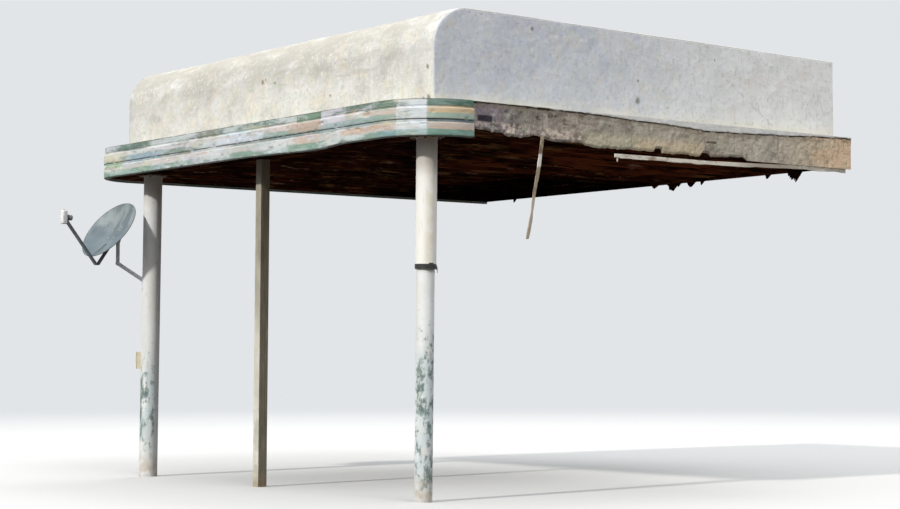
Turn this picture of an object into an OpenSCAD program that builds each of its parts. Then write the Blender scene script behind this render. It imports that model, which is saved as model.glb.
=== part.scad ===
// Filling station canopy of the streamline period: a timber roof on three posts and a wall ledger,
// with a moulded plaster fascia that turns two round corners and a stuccoed bulkhead with a rolled
// front edge above it. Part of the moulding on the right side has fallen off, and the ceiling is gone.
// Heights are worked out from the ground, and every piece is then lowered so that the origin is
// the middle of the wall ledger's back face. X runs along the wall, Y into it and Z up.

/* [Canopy] */
// Width over the fascia
canopy_w = 6300; // [5600:50:7000]
// Depth from the wall to the front of the fascia
canopy_d = 5830; // [5000:10:6400]
// Height from the ground to the fascia's lower edge
clear_h = 3330; // [2900:10:3700]
// Radius of the fascia's front corners in plan
corner_r = 600; // [500:10:750]

/* [Fascia] */
// Height of the lower rib
low_rib_h = 128; // [100:1:150]
// Height of the groove between the two ribs
groove_h = 26; // [16:1:36]
// Height of the upper rib
high_rib_h = 110; // [90:1:130]
// Height of the narrow groove over the upper rib
fine_groove_h = 14; // [8:1:20]
// Height of the plain band along the top
top_band_h = 62; // [45:1:80]
// How far the ribs stand out of the groove
rib_proud = 30; // [20:1:36]
// How far the plain band stands out of the groove
top_band_proud = 18; // [10:1:24]
// Thickness of the plaster behind the grooves
band_back_t = 22; // [16:1:30]
// Radius on the edges of the ribs
rib_round = 12; // [5:1:14]
// Straight moulding that is left behind the right corner
broken_stub_l = 60; // [40:10:400]

/* [Bulkhead] */
// Distance from the fascia's side to the bulkhead's side
side_setback = 276; // [240:2:360]
// Distance from the fascia's front to the bulkhead's front
front_setback = 400; // [320:10:460]
// Height of the bulkhead over the ledge
bulkhead_h = 905; // [780:5:1100]
// Radius of the rolled front edge
roll_r = 400; // [300:10:480]
// Fall of the roof from the rolled edge to the wall
roof_fall = 60; // [0:5:100]
// Thickness of the stucco
stucco_t = 22; // [18:1:28]
// Thickness of the stucco on the ledge
ledge_t = 24; // [18:1:30]
// Depth of the side edge over the roof surface
roof_recess = 14; // [6:1:24]

/* [Framing] */
// Thickness of the joists, rims, ledgers and studs
lumber_t = 41; // [38:1:50]
// Depth of the ceiling joists
joist_h = 235; // [200:5:260]
// Spacing of the ceiling joists
joist_pitch = 406; // [350:2:500]
// Thickness that the lost ceiling had
ceiling_t = 25; // [18:1:32]
// Width of the header over the posts
header_w = 140; // [110:5:180]
// Distance from the fascia's front to the middle of the header
header_setback = 420; // [390:5:460]
// Side of the square strips that the joists sit on
strip_s = 41; // [32:1:48]
// Thickness of the deck boards
deck_t = 19; // [16:1:26]
// Depth of the studs and of the wall plates
stud_w = 89; // [75:1:100]
// Spacing of the studs, ribs and rafters
stud_pitch = 560; // [480:10:620]
// Depth of the curved ribs behind the rolled edge
former_w = 110; // [90:5:140]
// Depth of the rafters
rafter_h = 140; // [110:5:170]
// Lap of each rafter along its rib
rafter_lap = 260; // [160:10:320]
// Depth of the upper ledger
roof_ledger_h = 184; // [150:2:220]
// Thickness of the roofing felt
felt_t = 6; // [4:1:10]

/* [Ledger bolts] */
// Number of bolt holes along the wall ledger
bolt_count = 8; // [4:1:10]
// Spacing of the bolt holes
bolt_pitch = 700; // [500:10:720]
// Diameter of the bolt holes
bolt_hole_d = 17.5; // [11:0.5:22]

/* [Posts] */
// Outside diameter of the left post
left_post_d = 203; // [168:1:219]
// Outside diameter of the right post
right_post_d = 168; // [152:1:188]
// Wall of the steel pipes
pipe_wall = 8; // [5:0.5:10]
// Distance from the canopy's left side to the foot of the left post
left_post_in = 750; // [700:10:900]
// How far the left post leans to the right from foot to top
left_post_lean = 70; // [0:5:100]
// Distance from the canopy's right side to the foot of the right post
right_post_in = 455; // [380:5:560]
// How far the right post leans to the right from foot to top
right_post_lean = 55; // [0:5:70]
// Distance from the canopy's middle to the foot of the timber prop, to the left
prop_off = 90; // [0:10:300]
// How far the timber prop leans to the right from foot to top
prop_lean = 40; // [0:5:80]
// Side of the timber prop
prop_s = 102; // [89:1:120]
// Outside diameter of the sheet sleeve on the right post
sleeve_d = 196; // [196:1:225]
// Thickness of the sleeve and of the strap
sleeve_t = 3; // [2:0.5:5]
// Height of the sleeve's lower edge over the ground
sleeve_z = 2150; // [1800:10:2500]
// Width of the strap under the sleeve's edge
strap_w = 45; // [30:1:60]
// Thickness of the bearing plates on the posts
plate_t = 12; // [8:1:16]
// Side of the bearing plates
plate_s = 230; // [225:5:260]

/* [Broken right edge] */
// Distance from the ledge down to the ragged lower edge at the front
ragged_h = 258; // [220:1:280]
// How far the ragged edge wanders up and down
ragged_amp = 14; // [0:1:25]
// Length of the loose white strip
loose_strip_l = 3250; // [2600:50:3600]
// Height of the loose strip
loose_strip_h = 30; // [20:1:40]
// Length of the thin piece that hangs from the edge
hanging_l = 1240; // [900:10:1400]
// Width of the hanging piece
hanging_w = 38; // [24:1:50]
// Thickness of the hanging piece
hanging_t = 10; // [6:1:14]
// Distance of the hanging piece behind the broken end of the moulding
hanging_back = 875; // [500:5:1200]
// Distance from the ledge down to the hanging piece's upper end
hanging_drop = 25; // [15:1:80]

/* [Dish] */
// Diameter of the reflector
dish_d = 760; // [600:10:800]
// Depth of the reflector
dish_deep = 84; // [60:2:100]
// Thickness of the reflector
dish_t = 4; // [3:0.5:6]
// Tilt of the reflector's axis from straight up, in degrees
dish_tilt = 53; // [46:0.5:58]
// Direction of the reflector's axis seen from above, in degrees
dish_az = -82.5; // [-92:0.5:-72]
// Distance of the mast in front of the left post's middle
mast_out = 310; // [270:10:350]
// Distance of the mast to the left of the left post's middle
mast_left = 210; // [170:5:260]
// Height of the mast's foot on the post
mast_foot_z = 2120; // [1900:10:2300]
// Rise of the mast's slanting part
mast_rise = 250; // [200:10:300]
// Length of the mast's upright part
mast_up = 280; // [270:10:360]
// Diameter of the mast
mast_d = 42; // [38:1:48]
// Distance of the feed in from the rim, square to the reflector's axis
feed_in = 135; // [100:5:160]
// Distance of the feed in front of the reflector's middle
feed_out = 595; // [540:5:660]
// Height of the outlet box on the left post
outlet_z = 1290; // [1000:10:1500]

/* [Hidden] */

$fn = 64;
skin = "ivory";
timber = "saddlebrown";
paint = "whitesmoke";
steel = "lightgray";

band_h = low_rib_h + groove_h + high_rib_h + fine_groove_h + top_band_h;
band_t = band_back_t + rib_proud;
ledge_z = clear_h + band_h;
joist_z = clear_h + ceiling_t;
joist_top = joist_z + joist_h;
deck_top = joist_top + deck_t;
mount_h = joist_z + joist_h / 2;

half_w = canopy_w / 2;
rim_x = half_w - band_t;
rim_r = corner_r - band_t;
corner_x = half_w - corner_r;
corner_y = -canopy_d + corner_r;
header_y = -canopy_d + header_setback;
header_front = header_y - header_w / 2;
header_back = header_y + header_w / 2;
rim_front_y = -canopy_d + band_t;
rim_in_r = rim_r - lumber_t;
header_half = corner_x + sqrt(pow(rim_in_r, 2) - pow(corner_y - header_front, 2));
break_y = corner_y + broken_stub_l;

box_x = half_w - side_setback;
box_y = -canopy_d + front_setback;
box_top = ledge_z + bulkhead_h;
roll_y = box_y + roll_r;
inner_x = box_x - stucco_t;
plate_z = deck_top + lumber_t;
roof_under = roof_recess + felt_t + deck_t;
plate_gap = 4;

left_post_x = -half_w + left_post_in;
right_post_x = half_w - right_post_in;
post_top = joist_z - plate_t;

dish_r = dish_d / 2;
mast_x = left_post_at(mast_foot_z) - mast_left;
mast_y = header_y - mast_out;
mast_top = mast_foot_z + mast_rise + mast_up;
clamp_l = 70;
elbow_d = 1.2 * mast_d;

function left_post_at(z) = left_post_x + left_post_lean * z / clear_h;
function right_post_at(z) = right_post_x + right_post_lean * z / clear_h;
function roof_drop(y) = roof_fall * (y - roll_y) / -roll_y;
function under_roof(y) = box_top - roof_under - roof_drop(y);
function wander(i, k) = sin(i * 137.5 + k * 71);

// Lowers what is worked out from the ground to the frame of the wall ledger
module placed() {
    translate([0, 0, -mount_h]) children();
}

// An outline in Y and Z, extruded along X around the middle at x
module along_x(x, length) {
    translate([x - length / 2, 0, 0]) rotate([90, 0, 90]) linear_extrude(length) children();
}

module bar(x0, x1, y0, y1, z0, z1) {
    translate([x0, y0, z0]) cube([x1 - x0, y1 - y0, z1 - z0]);
}

// The canopy's plan with its round front corners, drawn in by inset
module plan(inset) {
    r = corner_r - inset;
    translate([-half_w + inset, corner_y]) square([canopy_w - 2 * inset, -corner_y]);
    translate([-corner_x, -canopy_d + inset]) square([2 * corner_x, r + 1]);
    for (side = [-1, 1]) translate([side * corner_x, corner_y]) circle(r);
}

// Posts
module pipe(d, length) {
    difference() {
        cylinder(d = d, h = length);
        translate([0, 0, -1]) cylinder(d = d - 2 * pipe_wall, h = length + 2);
    }
}

// The frame of a post at x, which leans to the right
module in_post(x, lean) {
    translate([x, header_y, 0]) rotate([0, atan(lean / clear_h), 0]) children();
}

module in_left_post() {
    in_post(left_post_x, left_post_lean) children();
}

module in_right_post() {
    in_post(right_post_x, right_post_lean) children();
}

// The left post's outside, from which what seats on it takes its shape
module left_post_core() {
    in_left_post() translate([0, 0, -left_post_d])
        cylinder(d = left_post_d, h = post_top + 2 * left_post_d);
}

// What stands on the ground and ends under the bearing plates is cut level at both ends
module cut_level() {
    intersection() {
        children();
        bar(-half_w, half_w, header_y - plate_s, header_y + plate_s, 0, post_top);
    }
}

module post_left() {
    placed() color(paint) cut_level() in_left_post() translate([0, 0, -left_post_d])
        pipe(left_post_d, post_top + 2 * left_post_d);
}

module post_middle() {
    placed() color("wheat") translate([-prop_off, header_y + prop_s / 2, 0]) rotate([90, 0, 0])
        linear_extrude(prop_s) polygon([[-prop_s / 2, 0], [prop_s / 2, 0],
            [prop_s / 2 + prop_lean, joist_z], [-prop_s / 2 + prop_lean, joist_z]]);
}

module post_right() {
    placed() color(paint) cut_level() in_right_post() translate([0, 0, -right_post_d])
        pipe(right_post_d, post_top + 2 * right_post_d);
}

module sleeve_ring(d, z, length) {
    in_right_post() translate([0, 0, z]) difference() {
        cylinder(d = d, h = length);
        translate([0, 0, -1]) cylinder(d = d - 2 * sleeve_t, h = length + 2);
    }
}

module post_sleeve() {
    placed() color(paint) cut_level() sleeve_ring(sleeve_d, sleeve_z, post_top);
}

module post_strap() {
    placed() color("black") sleeve_ring(sleeve_d + 2 * sleeve_t, sleeve_z - strap_w / 3, strap_w);
}

module bearing_plate(x) {
    bar(x - plate_s / 2, x + plate_s / 2, header_y - plate_s / 2, header_y + plate_s / 2,
        post_top, joist_z);
}

module bearing_plates() {
    placed() color(steel) {
        bearing_plate(left_post_at(post_top));
        bearing_plate(right_post_at(post_top));
    }
}

// Floor of joists
module front_header() {
    placed() color(timber)
        bar(-header_half, header_half, header_front, header_back, joist_z, joist_top);
}

module wall_ledger() {
    reach = rim_x - lumber_t;
    placed() color(timber) difference() {
        bar(-reach, reach, -lumber_t, 0, joist_z, joist_top);
        for (i = [0 : bolt_count - 1])
            translate([(i - (bolt_count - 1) / 2) * bolt_pitch, 1, mount_h])
                rotate([90, 0, 0]) cylinder(d = bolt_hole_d, h = lumber_t + 2);
    }
}

module joist_strips() {
    reach = rim_x - lumber_t;
    placed() color(timber) {
        bar(-reach, reach, -lumber_t - strip_s, -lumber_t, joist_z, joist_z + strip_s);
        bar(-header_half, header_half, header_back, header_back + strip_s, joist_z, joist_z + strip_s);
    }
}

module joist_outline() {
    polygon([[header_back + strip_s, joist_z], [-lumber_t - strip_s, joist_z],
        [-lumber_t - strip_s, joist_z + strip_s], [-lumber_t, joist_z + strip_s],
        [-lumber_t, joist_top], [header_back, joist_top],
        [header_back, joist_z + strip_s], [header_back + strip_s, joist_z + strip_s]]);
}

joist_n = floor((rim_x - lumber_t) / joist_pitch);

module ceiling_joists() {
    placed() color(timber) for (i = [-joist_n : joist_n])
        along_x(i * joist_pitch, lumber_t) joist_outline();
}

module lookouts() {
    reach = floor(corner_x / joist_pitch);
    placed() color(timber) for (i = [-reach : reach])
        bar(i * joist_pitch - lumber_t / 2, i * joist_pitch + lumber_t / 2,
            rim_front_y + lumber_t, header_front, joist_z, joist_top);
}

module rim_front() {
    placed() color(timber)
        bar(-corner_x, corner_x, rim_front_y, rim_front_y + lumber_t, joist_z, joist_top);
}

module rim_side(side) {
    inner = side * (rim_x - lumber_t);
    outer = side * rim_x;
    bar(min(inner, outer), max(inner, outer), corner_y, 0, joist_z, joist_top);
}

module rim_left() {
    placed() color(timber) rim_side(-1);
}

module rim_right() {
    placed() color(timber) rim_side(1);
}

module rim_corner(side) {
    translate([side * corner_x, corner_y, joist_z]) rotate([0, 0, side > 0 ? -90 : 180])
        rotate_extrude(angle = 90) translate([rim_in_r, 0]) square([lumber_t, joist_h]);
}

module rim_corner_left() {
    placed() color(timber) rim_corner(-1);
}

module rim_corner_right() {
    placed() color(timber) rim_corner(1);
}

module ceiling_deck() {
    placed() color(timber) translate([0, 0, joist_top]) linear_extrude(deck_t) plan(band_t);
}

// What is left of the laths that carried the ceiling
lath_n = 16;
lath_w = 38;
lath_t = 9;
lath_first = 320;
lath_last = 380;
lath_swing = 1730;
lath_bays = 3;
lath_bays_swing = 2.4;

module laths() {
    span = -header_back - lath_first - lath_last;
    for (i = [0 : lath_n - 1]) {
        middle = wander(i, 1) * lath_swing;
        length = joist_pitch * (lath_bays + round(lath_bays_swing * wander(i, 2)));
        y = header_back + lath_first + i * span / lath_n;
        bar(middle - length / 2, middle + length / 2, y, y + lath_w, joist_z - lath_t, joist_z);
    }
}

// Torn scraps of the ceiling that still hang under the wall ledger. Each is its middle along the
// wall, its width at the top and how far it hangs down.
scraps = [[-2480, 60, 70], [130, 130, 40], [450, 250, 95], [735, 150, 75], [915, 70, 50],
    [1950, 90, 60], [2350, 220, 150]];
scrap_t = 22;

module ceiling_scrap(x, w, drop) {
    translate([x, scrap_t - lumber_t, joist_z]) rotate([90, 0, 0]) linear_extrude(scrap_t)
        polygon([[-w / 2, 0], [-w / 3, -drop / 2], [-w / 8, -drop / 3], [w / 8, -drop],
            [w / 4, -drop / 2], [w / 2, 0]]);
}

module lath_remnants() {
    placed() color("peru") {
        laths();
        for (scrap = scraps) ceiling_scrap(scrap[0], scrap[1], scrap[2]);
    }
}

// Moulded fascia. Its section stands on the lower edge, with the groove's face at zero.
function rib_edge(z0, z1, proud, r) = concat(
    [for (a = [-90 : 22.5 : 0]) [proud - r + r * cos(a), z0 + r + r * sin(a)]],
    [for (a = [0 : 22.5 : 90]) [proud - r + r * cos(a), z1 - r + r * sin(a)]]);

high_rib_z = low_rib_h + groove_h;
high_rib_top = high_rib_z + high_rib_h;
top_band_z = high_rib_top + fine_groove_h;

module fascia_section() {
    polygon(concat([[-band_back_t, 0], [0, 0]],
        rib_edge(0, low_rib_h, rib_proud, rib_round), [[0, low_rib_h]],
        [[0, high_rib_z]], rib_edge(high_rib_z, high_rib_top, rib_proud, rib_round),
        [[0, high_rib_top]], [[0, top_band_z]],
        rib_edge(top_band_z, band_h, top_band_proud, rib_round / 2),
        [[0, band_h], [-band_back_t, band_h]]));
}

// A straight run along Y on the right side, from y0 back to y1
module fascia_run(y0, y1) {
    translate([half_w - rib_proud, y1, clear_h]) rotate([90, 0, 0])
        linear_extrude(y1 - y0) fascia_section();
}

module fascia_turn() {
    translate([corner_x, corner_y, clear_h]) rotate([0, 0, -90])
        rotate_extrude(angle = 90) translate([corner_r - rib_proud, 0]) fascia_section();
}

module fascia_front() {
    placed() color("honeydew") translate([-corner_x, -canopy_d + rib_proud, clear_h])
        rotate([90, 0, 90]) linear_extrude(2 * corner_x) mirror([1, 0]) fascia_section();
}

module fascia_left() {
    placed() color("honeydew") mirror([1, 0, 0]) fascia_run(corner_y, 0);
}

module fascia_corner_left() {
    placed() color("honeydew") mirror([1, 0, 0]) fascia_turn();
}

module fascia_corner_right() {
    placed() color("honeydew") {
        fascia_turn();
        fascia_run(corner_y, break_y);
    }
}

// Rough plaster where the moulding has fallen off. The loose strip still hangs on to it from
// loose_hold_y back to the wall.
ragged_n = 30;
loose_hold_y = -1450;
loose_end = 60;
loose_drop = 36;
loose_strip_t = 13;
hanging_lean = 10;

module raw_edge_right() {
    step = (loose_hold_y - break_y) / ragged_n;
    low = [for (i = [0 : ragged_n - 1]) [break_y + i * step, clear_h
        + (band_h - ragged_h) * pow(1 - i / ragged_n, 3)
        + ragged_amp * (1 + wander(i, 3)) / 2 * (1 - i / ragged_n)]];
    placed() color("gray") along_x(rim_x + band_back_t / 2, band_back_t)
        polygon(concat(low, [[loose_hold_y, clear_h], [0, clear_h], [0, ledge_z],
            [break_y, ledge_z]]));
}

module loose_strip() {
    front = -loose_strip_l - loose_end;
    placed() color(paint) along_x(rim_x + band_back_t / 2, loose_strip_t)
        polygon([[front, clear_h - loose_drop - loose_strip_h],
            [loose_hold_y, clear_h - loose_strip_h], [-loose_end, clear_h - loose_strip_h],
            [-loose_end, clear_h], [loose_hold_y, clear_h], [front, clear_h - loose_drop]]);
}

module hanging_strip() {
    placed() color("tan")
        translate([rim_x + band_back_t, break_y + hanging_back, ledge_z - hanging_drop])
            rotate([-hanging_lean, 0, 0]) translate([0, -hanging_w / 2, -hanging_l])
                cube([hanging_t, hanging_w, hanging_l]);
}

// Ledge round the bulkhead's foot
module ledge_part(x0, x1, y0, y1) {
    placed() color(skin) translate([0, 0, ledge_z - ledge_t]) linear_extrude(ledge_t)
        intersection() {
            plan(band_t);
            translate([x0, y0]) square([x1 - x0, y1 - y0]);
        }
}

module ledge_front() {
    ledge_part(-half_w, half_w, -canopy_d, box_y);
}

module ledge_left() {
    ledge_part(-half_w, -box_x, box_y, 0);
}

module ledge_right() {
    ledge_part(box_x, half_w, box_y, 0);
}

module ledge_packing() {
    low = deck_top;
    high = ledge_z - ledge_t;
    placed() color(timber) {
        for (side = [-1, 1]) translate([side * (box_x + rim_x) / 2, 0, 0])
            bar(-stud_w / 2, stud_w / 2, box_y, 0, low, high);
        bar(-corner_x, corner_x, rim_front_y + lumber_t, rim_front_y + lumber_t + stud_w, low, high);
    }
}

// Bulkhead. The outline of its side in Y and Z, drawn in by inset.
function side_outline(inset) = concat(
    [[0, deck_top], [box_y + inset, deck_top]],
    [for (a = [180 : -7.5 : 90]) [roll_y + (roll_r - inset) * cos(a),
        box_top - roll_r + (roll_r - inset) * sin(a)]],
    [[0, box_top - roof_fall - inset]]);

module side_wall(x) {
    along_x(x, stucco_t) polygon(side_outline(0));
}

module stucco_left() {
    placed() color(skin) side_wall(-box_x + stucco_t / 2);
}

module stucco_right() {
    placed() color(skin) side_wall(box_x - stucco_t / 2);
}

// A band of the bulkhead's front and rolled edge between two insets, with a tail on the roof
module rolled_band(inner, outer, low, tail) {
    polygon(concat([[box_y + outer, low], [box_y + inner, low]],
        [for (a = [180 : -7.5 : 90]) [roll_y + (roll_r - inner) * cos(a),
            box_top - roll_r + (roll_r - inner) * sin(a)]],
        [[roll_y + tail, box_top - inner - roof_drop(roll_y + tail)],
            [roll_y + tail, box_top - outer - roof_drop(roll_y + tail)]],
        [for (a = [90 : 7.5 : 180]) [roll_y + (roll_r - outer) * cos(a),
            box_top - roll_r + (roll_r - outer) * sin(a)]]));
}

module stucco_front() {
    placed() color(skin) along_x(0, 2 * inner_x)
        rolled_band(0, stucco_t, deck_top, stucco_t);
}

rib_end = inner_x - lumber_t / 2;
rib_n = round(2 * rib_end / stud_pitch);
function rib_at(i) = -rib_end + i * 2 * rib_end / rib_n;

// A curved rib backs the stucco and then steps down under the roof deck
module curved_ribs() {
    placed() color(timber) for (i = [0 : rib_n])
        along_x(rib_at(i), lumber_t) intersection() {
            rolled_band(stucco_t, stucco_t + former_w, plate_z, rafter_lap);
            union() {
                translate([box_y, 0]) square([roll_y + stucco_t - box_y, box_top]);
                polygon([[box_y, 0], [roll_y + rafter_lap, 0],
                    [roll_y + rafter_lap, under_roof(roll_y + rafter_lap)],
                    [box_y, under_roof(box_y)]]);
            }
        }
}

module sole_plates() {
    front = box_y + stucco_t;
    reach = inner_x - stud_w - plate_gap;
    placed() color(timber) {
        bar(-reach, reach, front, front + former_w, deck_top, plate_z);
        for (side = [-1, 1]) translate([side * (inner_x - stud_w / 2), 0, 0])
            bar(-stud_w / 2, stud_w / 2, front, 0, deck_top, plate_z);
    }
}

// A timber of the side walls between two heights, with a top that follows the roof
module under_plate(x, width, y0, y1) {
    along_x(x, width) polygon([[y0, plate_z], [y1, plate_z],
        [y1, under_roof(y1) - lumber_t], [y0, under_roof(y0) - lumber_t]]);
}

module sloped_bar(x, width, y0, y1, depth) {
    along_x(x, width) polygon([[y0, under_roof(y0) - depth], [y1, under_roof(y1) - depth],
        [y1, under_roof(y1)], [y0, under_roof(y0)]]);
}

plates_y = roll_y + rafter_lap;
stud_n = floor((-plates_y - lumber_t) / stud_pitch);

module side_studs() {
    placed() color(timber) for (side = [-1, 1], i = [0 : stud_n])
        under_plate(side * (inner_x - stud_w / 2), stud_w,
            -i * stud_pitch - lumber_t, -i * stud_pitch);
}

module top_plates() {
    placed() color(timber) for (side = [-1, 1])
        sloped_bar(side * (inner_x - stud_w / 2), stud_w, plates_y, 0, lumber_t);
}

module rafters() {
    placed() color(timber) for (i = [1 : rib_n - 1])
        sloped_bar(rib_at(i) + lumber_t, lumber_t, roll_y + stucco_t, -lumber_t, rafter_h);
}

module roof_ledger() {
    top = box_top - roof_under - roof_fall;
    placed() color(timber)
        bar(-inner_x + stud_w, inner_x - stud_w, -lumber_t, 0, top - roof_ledger_h, top);
}

module roof_sheet(low, thick, front) {
    along_x(0, 2 * inner_x) polygon([[front, box_top - low - thick - roof_drop(front)],
        [0, box_top - low - thick - roof_fall], [0, box_top - low - roof_fall],
        [front, box_top - low - roof_drop(front)]]);
}

module roof_deck() {
    placed() color(timber) roof_sheet(roof_recess + felt_t, deck_t, roll_y + stucco_t);
}

module roof_felt() {
    placed() color("dimgray") roof_sheet(roof_recess, felt_t, roll_y + stucco_t);
}

// Satellite dish on the left post. Its own frame has the axis on Z and the feed side on +X.
module on_dish() {
    translate([mast_x, mast_y, mast_top - mount_h]) rotate([0, dish_tilt, dish_az])
        translate([0, 0, clamp_l]) children();
}

function bowl(r, lift) = [r, dish_deep * pow(r / dish_r, 2) + lift];

module dish_reflector() {
    steps = 14;
    on_dish() color(steel) rotate_extrude() polygon(concat(
        [for (i = [0 : steps]) bowl(i * dish_r / steps, 0)],
        [for (i = [steps : -1 : 0]) bowl(i * dish_r / steps, dish_t)]));
}

// Bracket behind the reflector: a plate, and two cheeks that grip the mast and the arm
bracket_w = 150;
bracket_t = 4;
bracket_round = 12;
cheek_half = 60;
cheek_t = 4;
cheek_grip = 1;
cheek_in = mast_d / 2 - cheek_grip;

module rounded(w, h, r) {
    square([w - 2 * r, h], center = true);
    square([w, h - 2 * r], center = true);
    for (x = [-1, 1], y = [-1, 1]) translate([x * (w / 2 - r), y * (h / 2 - r)]) circle(r);
}

module back_bracket() {
    translate([0, 0, -bracket_t]) linear_extrude(bracket_t)
        rounded(bracket_w, bracket_w, bracket_round);
    for (side = [-1, 1]) translate([0, side * (cheek_in + cheek_t / 2), 0]) rotate([90, 0, 0])
        linear_extrude(cheek_t, center = true) polygon([[-cheek_half, -bracket_t / 2],
            [cheek_half, -bracket_t / 2], [cheek_half, -clamp_l],
            [cheek_half - mast_d / 2, -clamp_l - mast_d], [-mast_d / 2, -clamp_l - mast_d / 2]]);
}

// The arm runs out between the cheeks, turns past the rim and ends in a ring for the feed's neck
arm_h = 22;
arm_w = 2 * cheek_in;
arm_low = 35;
arm_start = -40;
arm_clear = 32;
arm_bend = 24;
ring_d = 60;
ring_l = arm_h + 2;
ring_grip = 25;
neck_d = 40;
stem_l = 50;
horn_tilt = 145;

module at_feed() {
    translate([dish_r - feed_in, 0, feed_out]) rotate([0, -horn_tilt, 0]) children();
}

// A strip of width w along a route, with mitred bends
function side_of(a, b) = [a[1] - b[1], b[0] - a[0]] / norm(b - a);
function mitre(route, i) = let (
    before = side_of(route[max(i, 1) - 1], route[max(i, 1)]),
    after = side_of(route[min(i, len(route) - 2)], route[min(i, len(route) - 2) + 1]))
    (before + after) / (1 + before * after);

module strip_along(route, w) {
    last = len(route) - 1;
    polygon(concat([for (i = [0 : last]) route[i] + mitre(route, i) * w / 2],
        [for (i = [last : -1 : 0]) route[i] - mitre(route, i) * w / 2]));
}

module dish_arm() {
    inward = [cos(horn_tilt), sin(horn_tilt)];
    feed = [dish_r - feed_in, feed_out];
    knee = feed - stem_l * inward;
    elbow = [dish_r + arm_clear + arm_h / 2, -arm_low];
    rise = (knee - elbow) / norm(knee - elbow);
    on_dish() color("darkgray") difference() {
        union() {
            rotate([90, 0, 0]) linear_extrude(arm_w, center = true)
                strip_along([[arm_start, -arm_low], elbow - [arm_bend, 0], elbow + arm_bend * rise,
                    knee, feed - ring_grip * inward], arm_h);
            at_feed() cylinder(d = ring_d, h = ring_l, center = true);
        }
        at_feed() cylinder(d = neck_d, h = 2 * ring_l, center = true);
    }
}

// The head: a horn that looks at the reflector, a neck through the ring and a body behind it
horn_d = 62;
horn_lip = 1;
horn_flare = 20;
horn_l = 50;
head_h = 150;
head_w = 60;
head_l = 58;

module dish_head() {
    on_dish() color("white") at_feed() {
        translate([0, 0, -ring_l]) cylinder(d = neck_d, h = 2 * ring_l);
        translate([0, 0, ring_l / 2]) {
            cylinder(d1 = neck_d + 2 * horn_lip, d2 = horn_d, h = horn_flare);
            translate([0, 0, horn_flare]) cylinder(d = horn_d, h = horn_l - horn_flare);
        }
        translate([-head_h / 2, -head_w / 2, -ring_l / 2 - head_l]) cube([head_h, head_w, head_l]);
    }
}

// The mast's foot is a plate bent round the post
foot_plate_t = 6;
foot_plate_w = 100;
foot_plate_h = 160;
foot_plate_up = 30;
foot_plate_round = 30;

module dish_mast() {
    foot_x = left_post_at(mast_foot_z);
    run = [mast_x - foot_x, mast_y - header_y];
    heading = atan2(run[1], run[0]);
    slant = atan2(norm(run), mast_rise);
    placed() color(steel) difference() {
        union() {
            translate([foot_x, header_y, mast_foot_z]) rotate([0, slant, heading])
                cylinder(d = mast_d, h = norm([norm(run), mast_rise]));
            translate([mast_x, mast_y, mast_foot_z + mast_rise]) {
                sphere(d = elbow_d);
                cylinder(d = mast_d, h = mast_up);
            }
            in_left_post() intersection() {
                cylinder(d = left_post_d + 2 * foot_plate_t, h = post_top);
                translate([0, 0, mast_foot_z + foot_plate_up]) rotate([90, 0, 90 + heading])
                    linear_extrude(left_post_d) rounded(foot_plate_w, foot_plate_h, foot_plate_round);
            }
        }
        left_post_core();
    }
    on_dish() color(steel) back_bracket();
}

outlet_w = 56;
outlet_deep = 52;
outlet_h = 190;
outlet_az = -125;

module outlet_box() {
    placed() color("wheat") difference() {
        translate([left_post_at(outlet_z), header_y, outlet_z]) rotate([0, 0, outlet_az])
            translate([0, -outlet_w / 2, -outlet_h / 2])
                cube([left_post_d / 2 + outlet_deep, outlet_w, outlet_h]);
        left_post_core();
    }
}

post_left();
post_middle();
post_right();
post_sleeve();
post_strap();
bearing_plates();
front_header();
wall_ledger();
joist_strips();
ceiling_joists();
lookouts();
rim_front();
rim_left();
rim_right();
rim_corner_left();
rim_corner_right();
ceiling_deck();
lath_remnants();
fascia_front();
fascia_left();
fascia_corner_left();
fascia_corner_right();
raw_edge_right();
loose_strip();
hanging_strip();
ledge_front();
ledge_left();
ledge_right();
ledge_packing();
sole_plates();
curved_ribs();
side_studs();
top_plates();
rafters();
roof_ledger();
stucco_front();
stucco_left();
stucco_right();
roof_deck();
roof_felt();
dish_reflector();
dish_arm();
dish_head();
dish_mast();
outlet_box();
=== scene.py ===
"""Looks of the filling station canopy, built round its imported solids.

Everything is in metres in the frame of the wall ledger: X runs along it, Y to its back and Z up.
A depth is a place along Y: 0 at the ledger's back face, and below 0 in front of it. Sizes and
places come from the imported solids. Each finish and each piece has its own function.
"""

import itertools
import math

import bmesh
import bpy
import numpy as np
from mathutils import Matrix, Vector

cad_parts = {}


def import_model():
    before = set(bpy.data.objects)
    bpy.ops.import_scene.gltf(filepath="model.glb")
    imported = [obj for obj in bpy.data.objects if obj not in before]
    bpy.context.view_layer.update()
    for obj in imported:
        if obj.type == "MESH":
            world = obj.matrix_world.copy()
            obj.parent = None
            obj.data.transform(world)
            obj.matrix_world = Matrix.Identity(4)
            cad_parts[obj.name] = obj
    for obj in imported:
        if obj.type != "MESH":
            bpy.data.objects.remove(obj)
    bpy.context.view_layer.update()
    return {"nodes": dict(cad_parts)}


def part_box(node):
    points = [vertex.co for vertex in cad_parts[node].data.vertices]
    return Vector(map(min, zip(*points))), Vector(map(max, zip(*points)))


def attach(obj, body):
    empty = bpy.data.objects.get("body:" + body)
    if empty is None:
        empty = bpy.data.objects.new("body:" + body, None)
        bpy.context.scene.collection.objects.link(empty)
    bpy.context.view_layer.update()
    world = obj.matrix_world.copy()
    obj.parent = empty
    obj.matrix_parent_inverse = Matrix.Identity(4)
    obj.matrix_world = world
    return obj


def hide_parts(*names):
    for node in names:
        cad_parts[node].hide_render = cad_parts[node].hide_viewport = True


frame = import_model()
NODES = frame["nodes"]
SCENE = bpy.context.scene
RANDOM = np.random.default_rng(1938)

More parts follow.
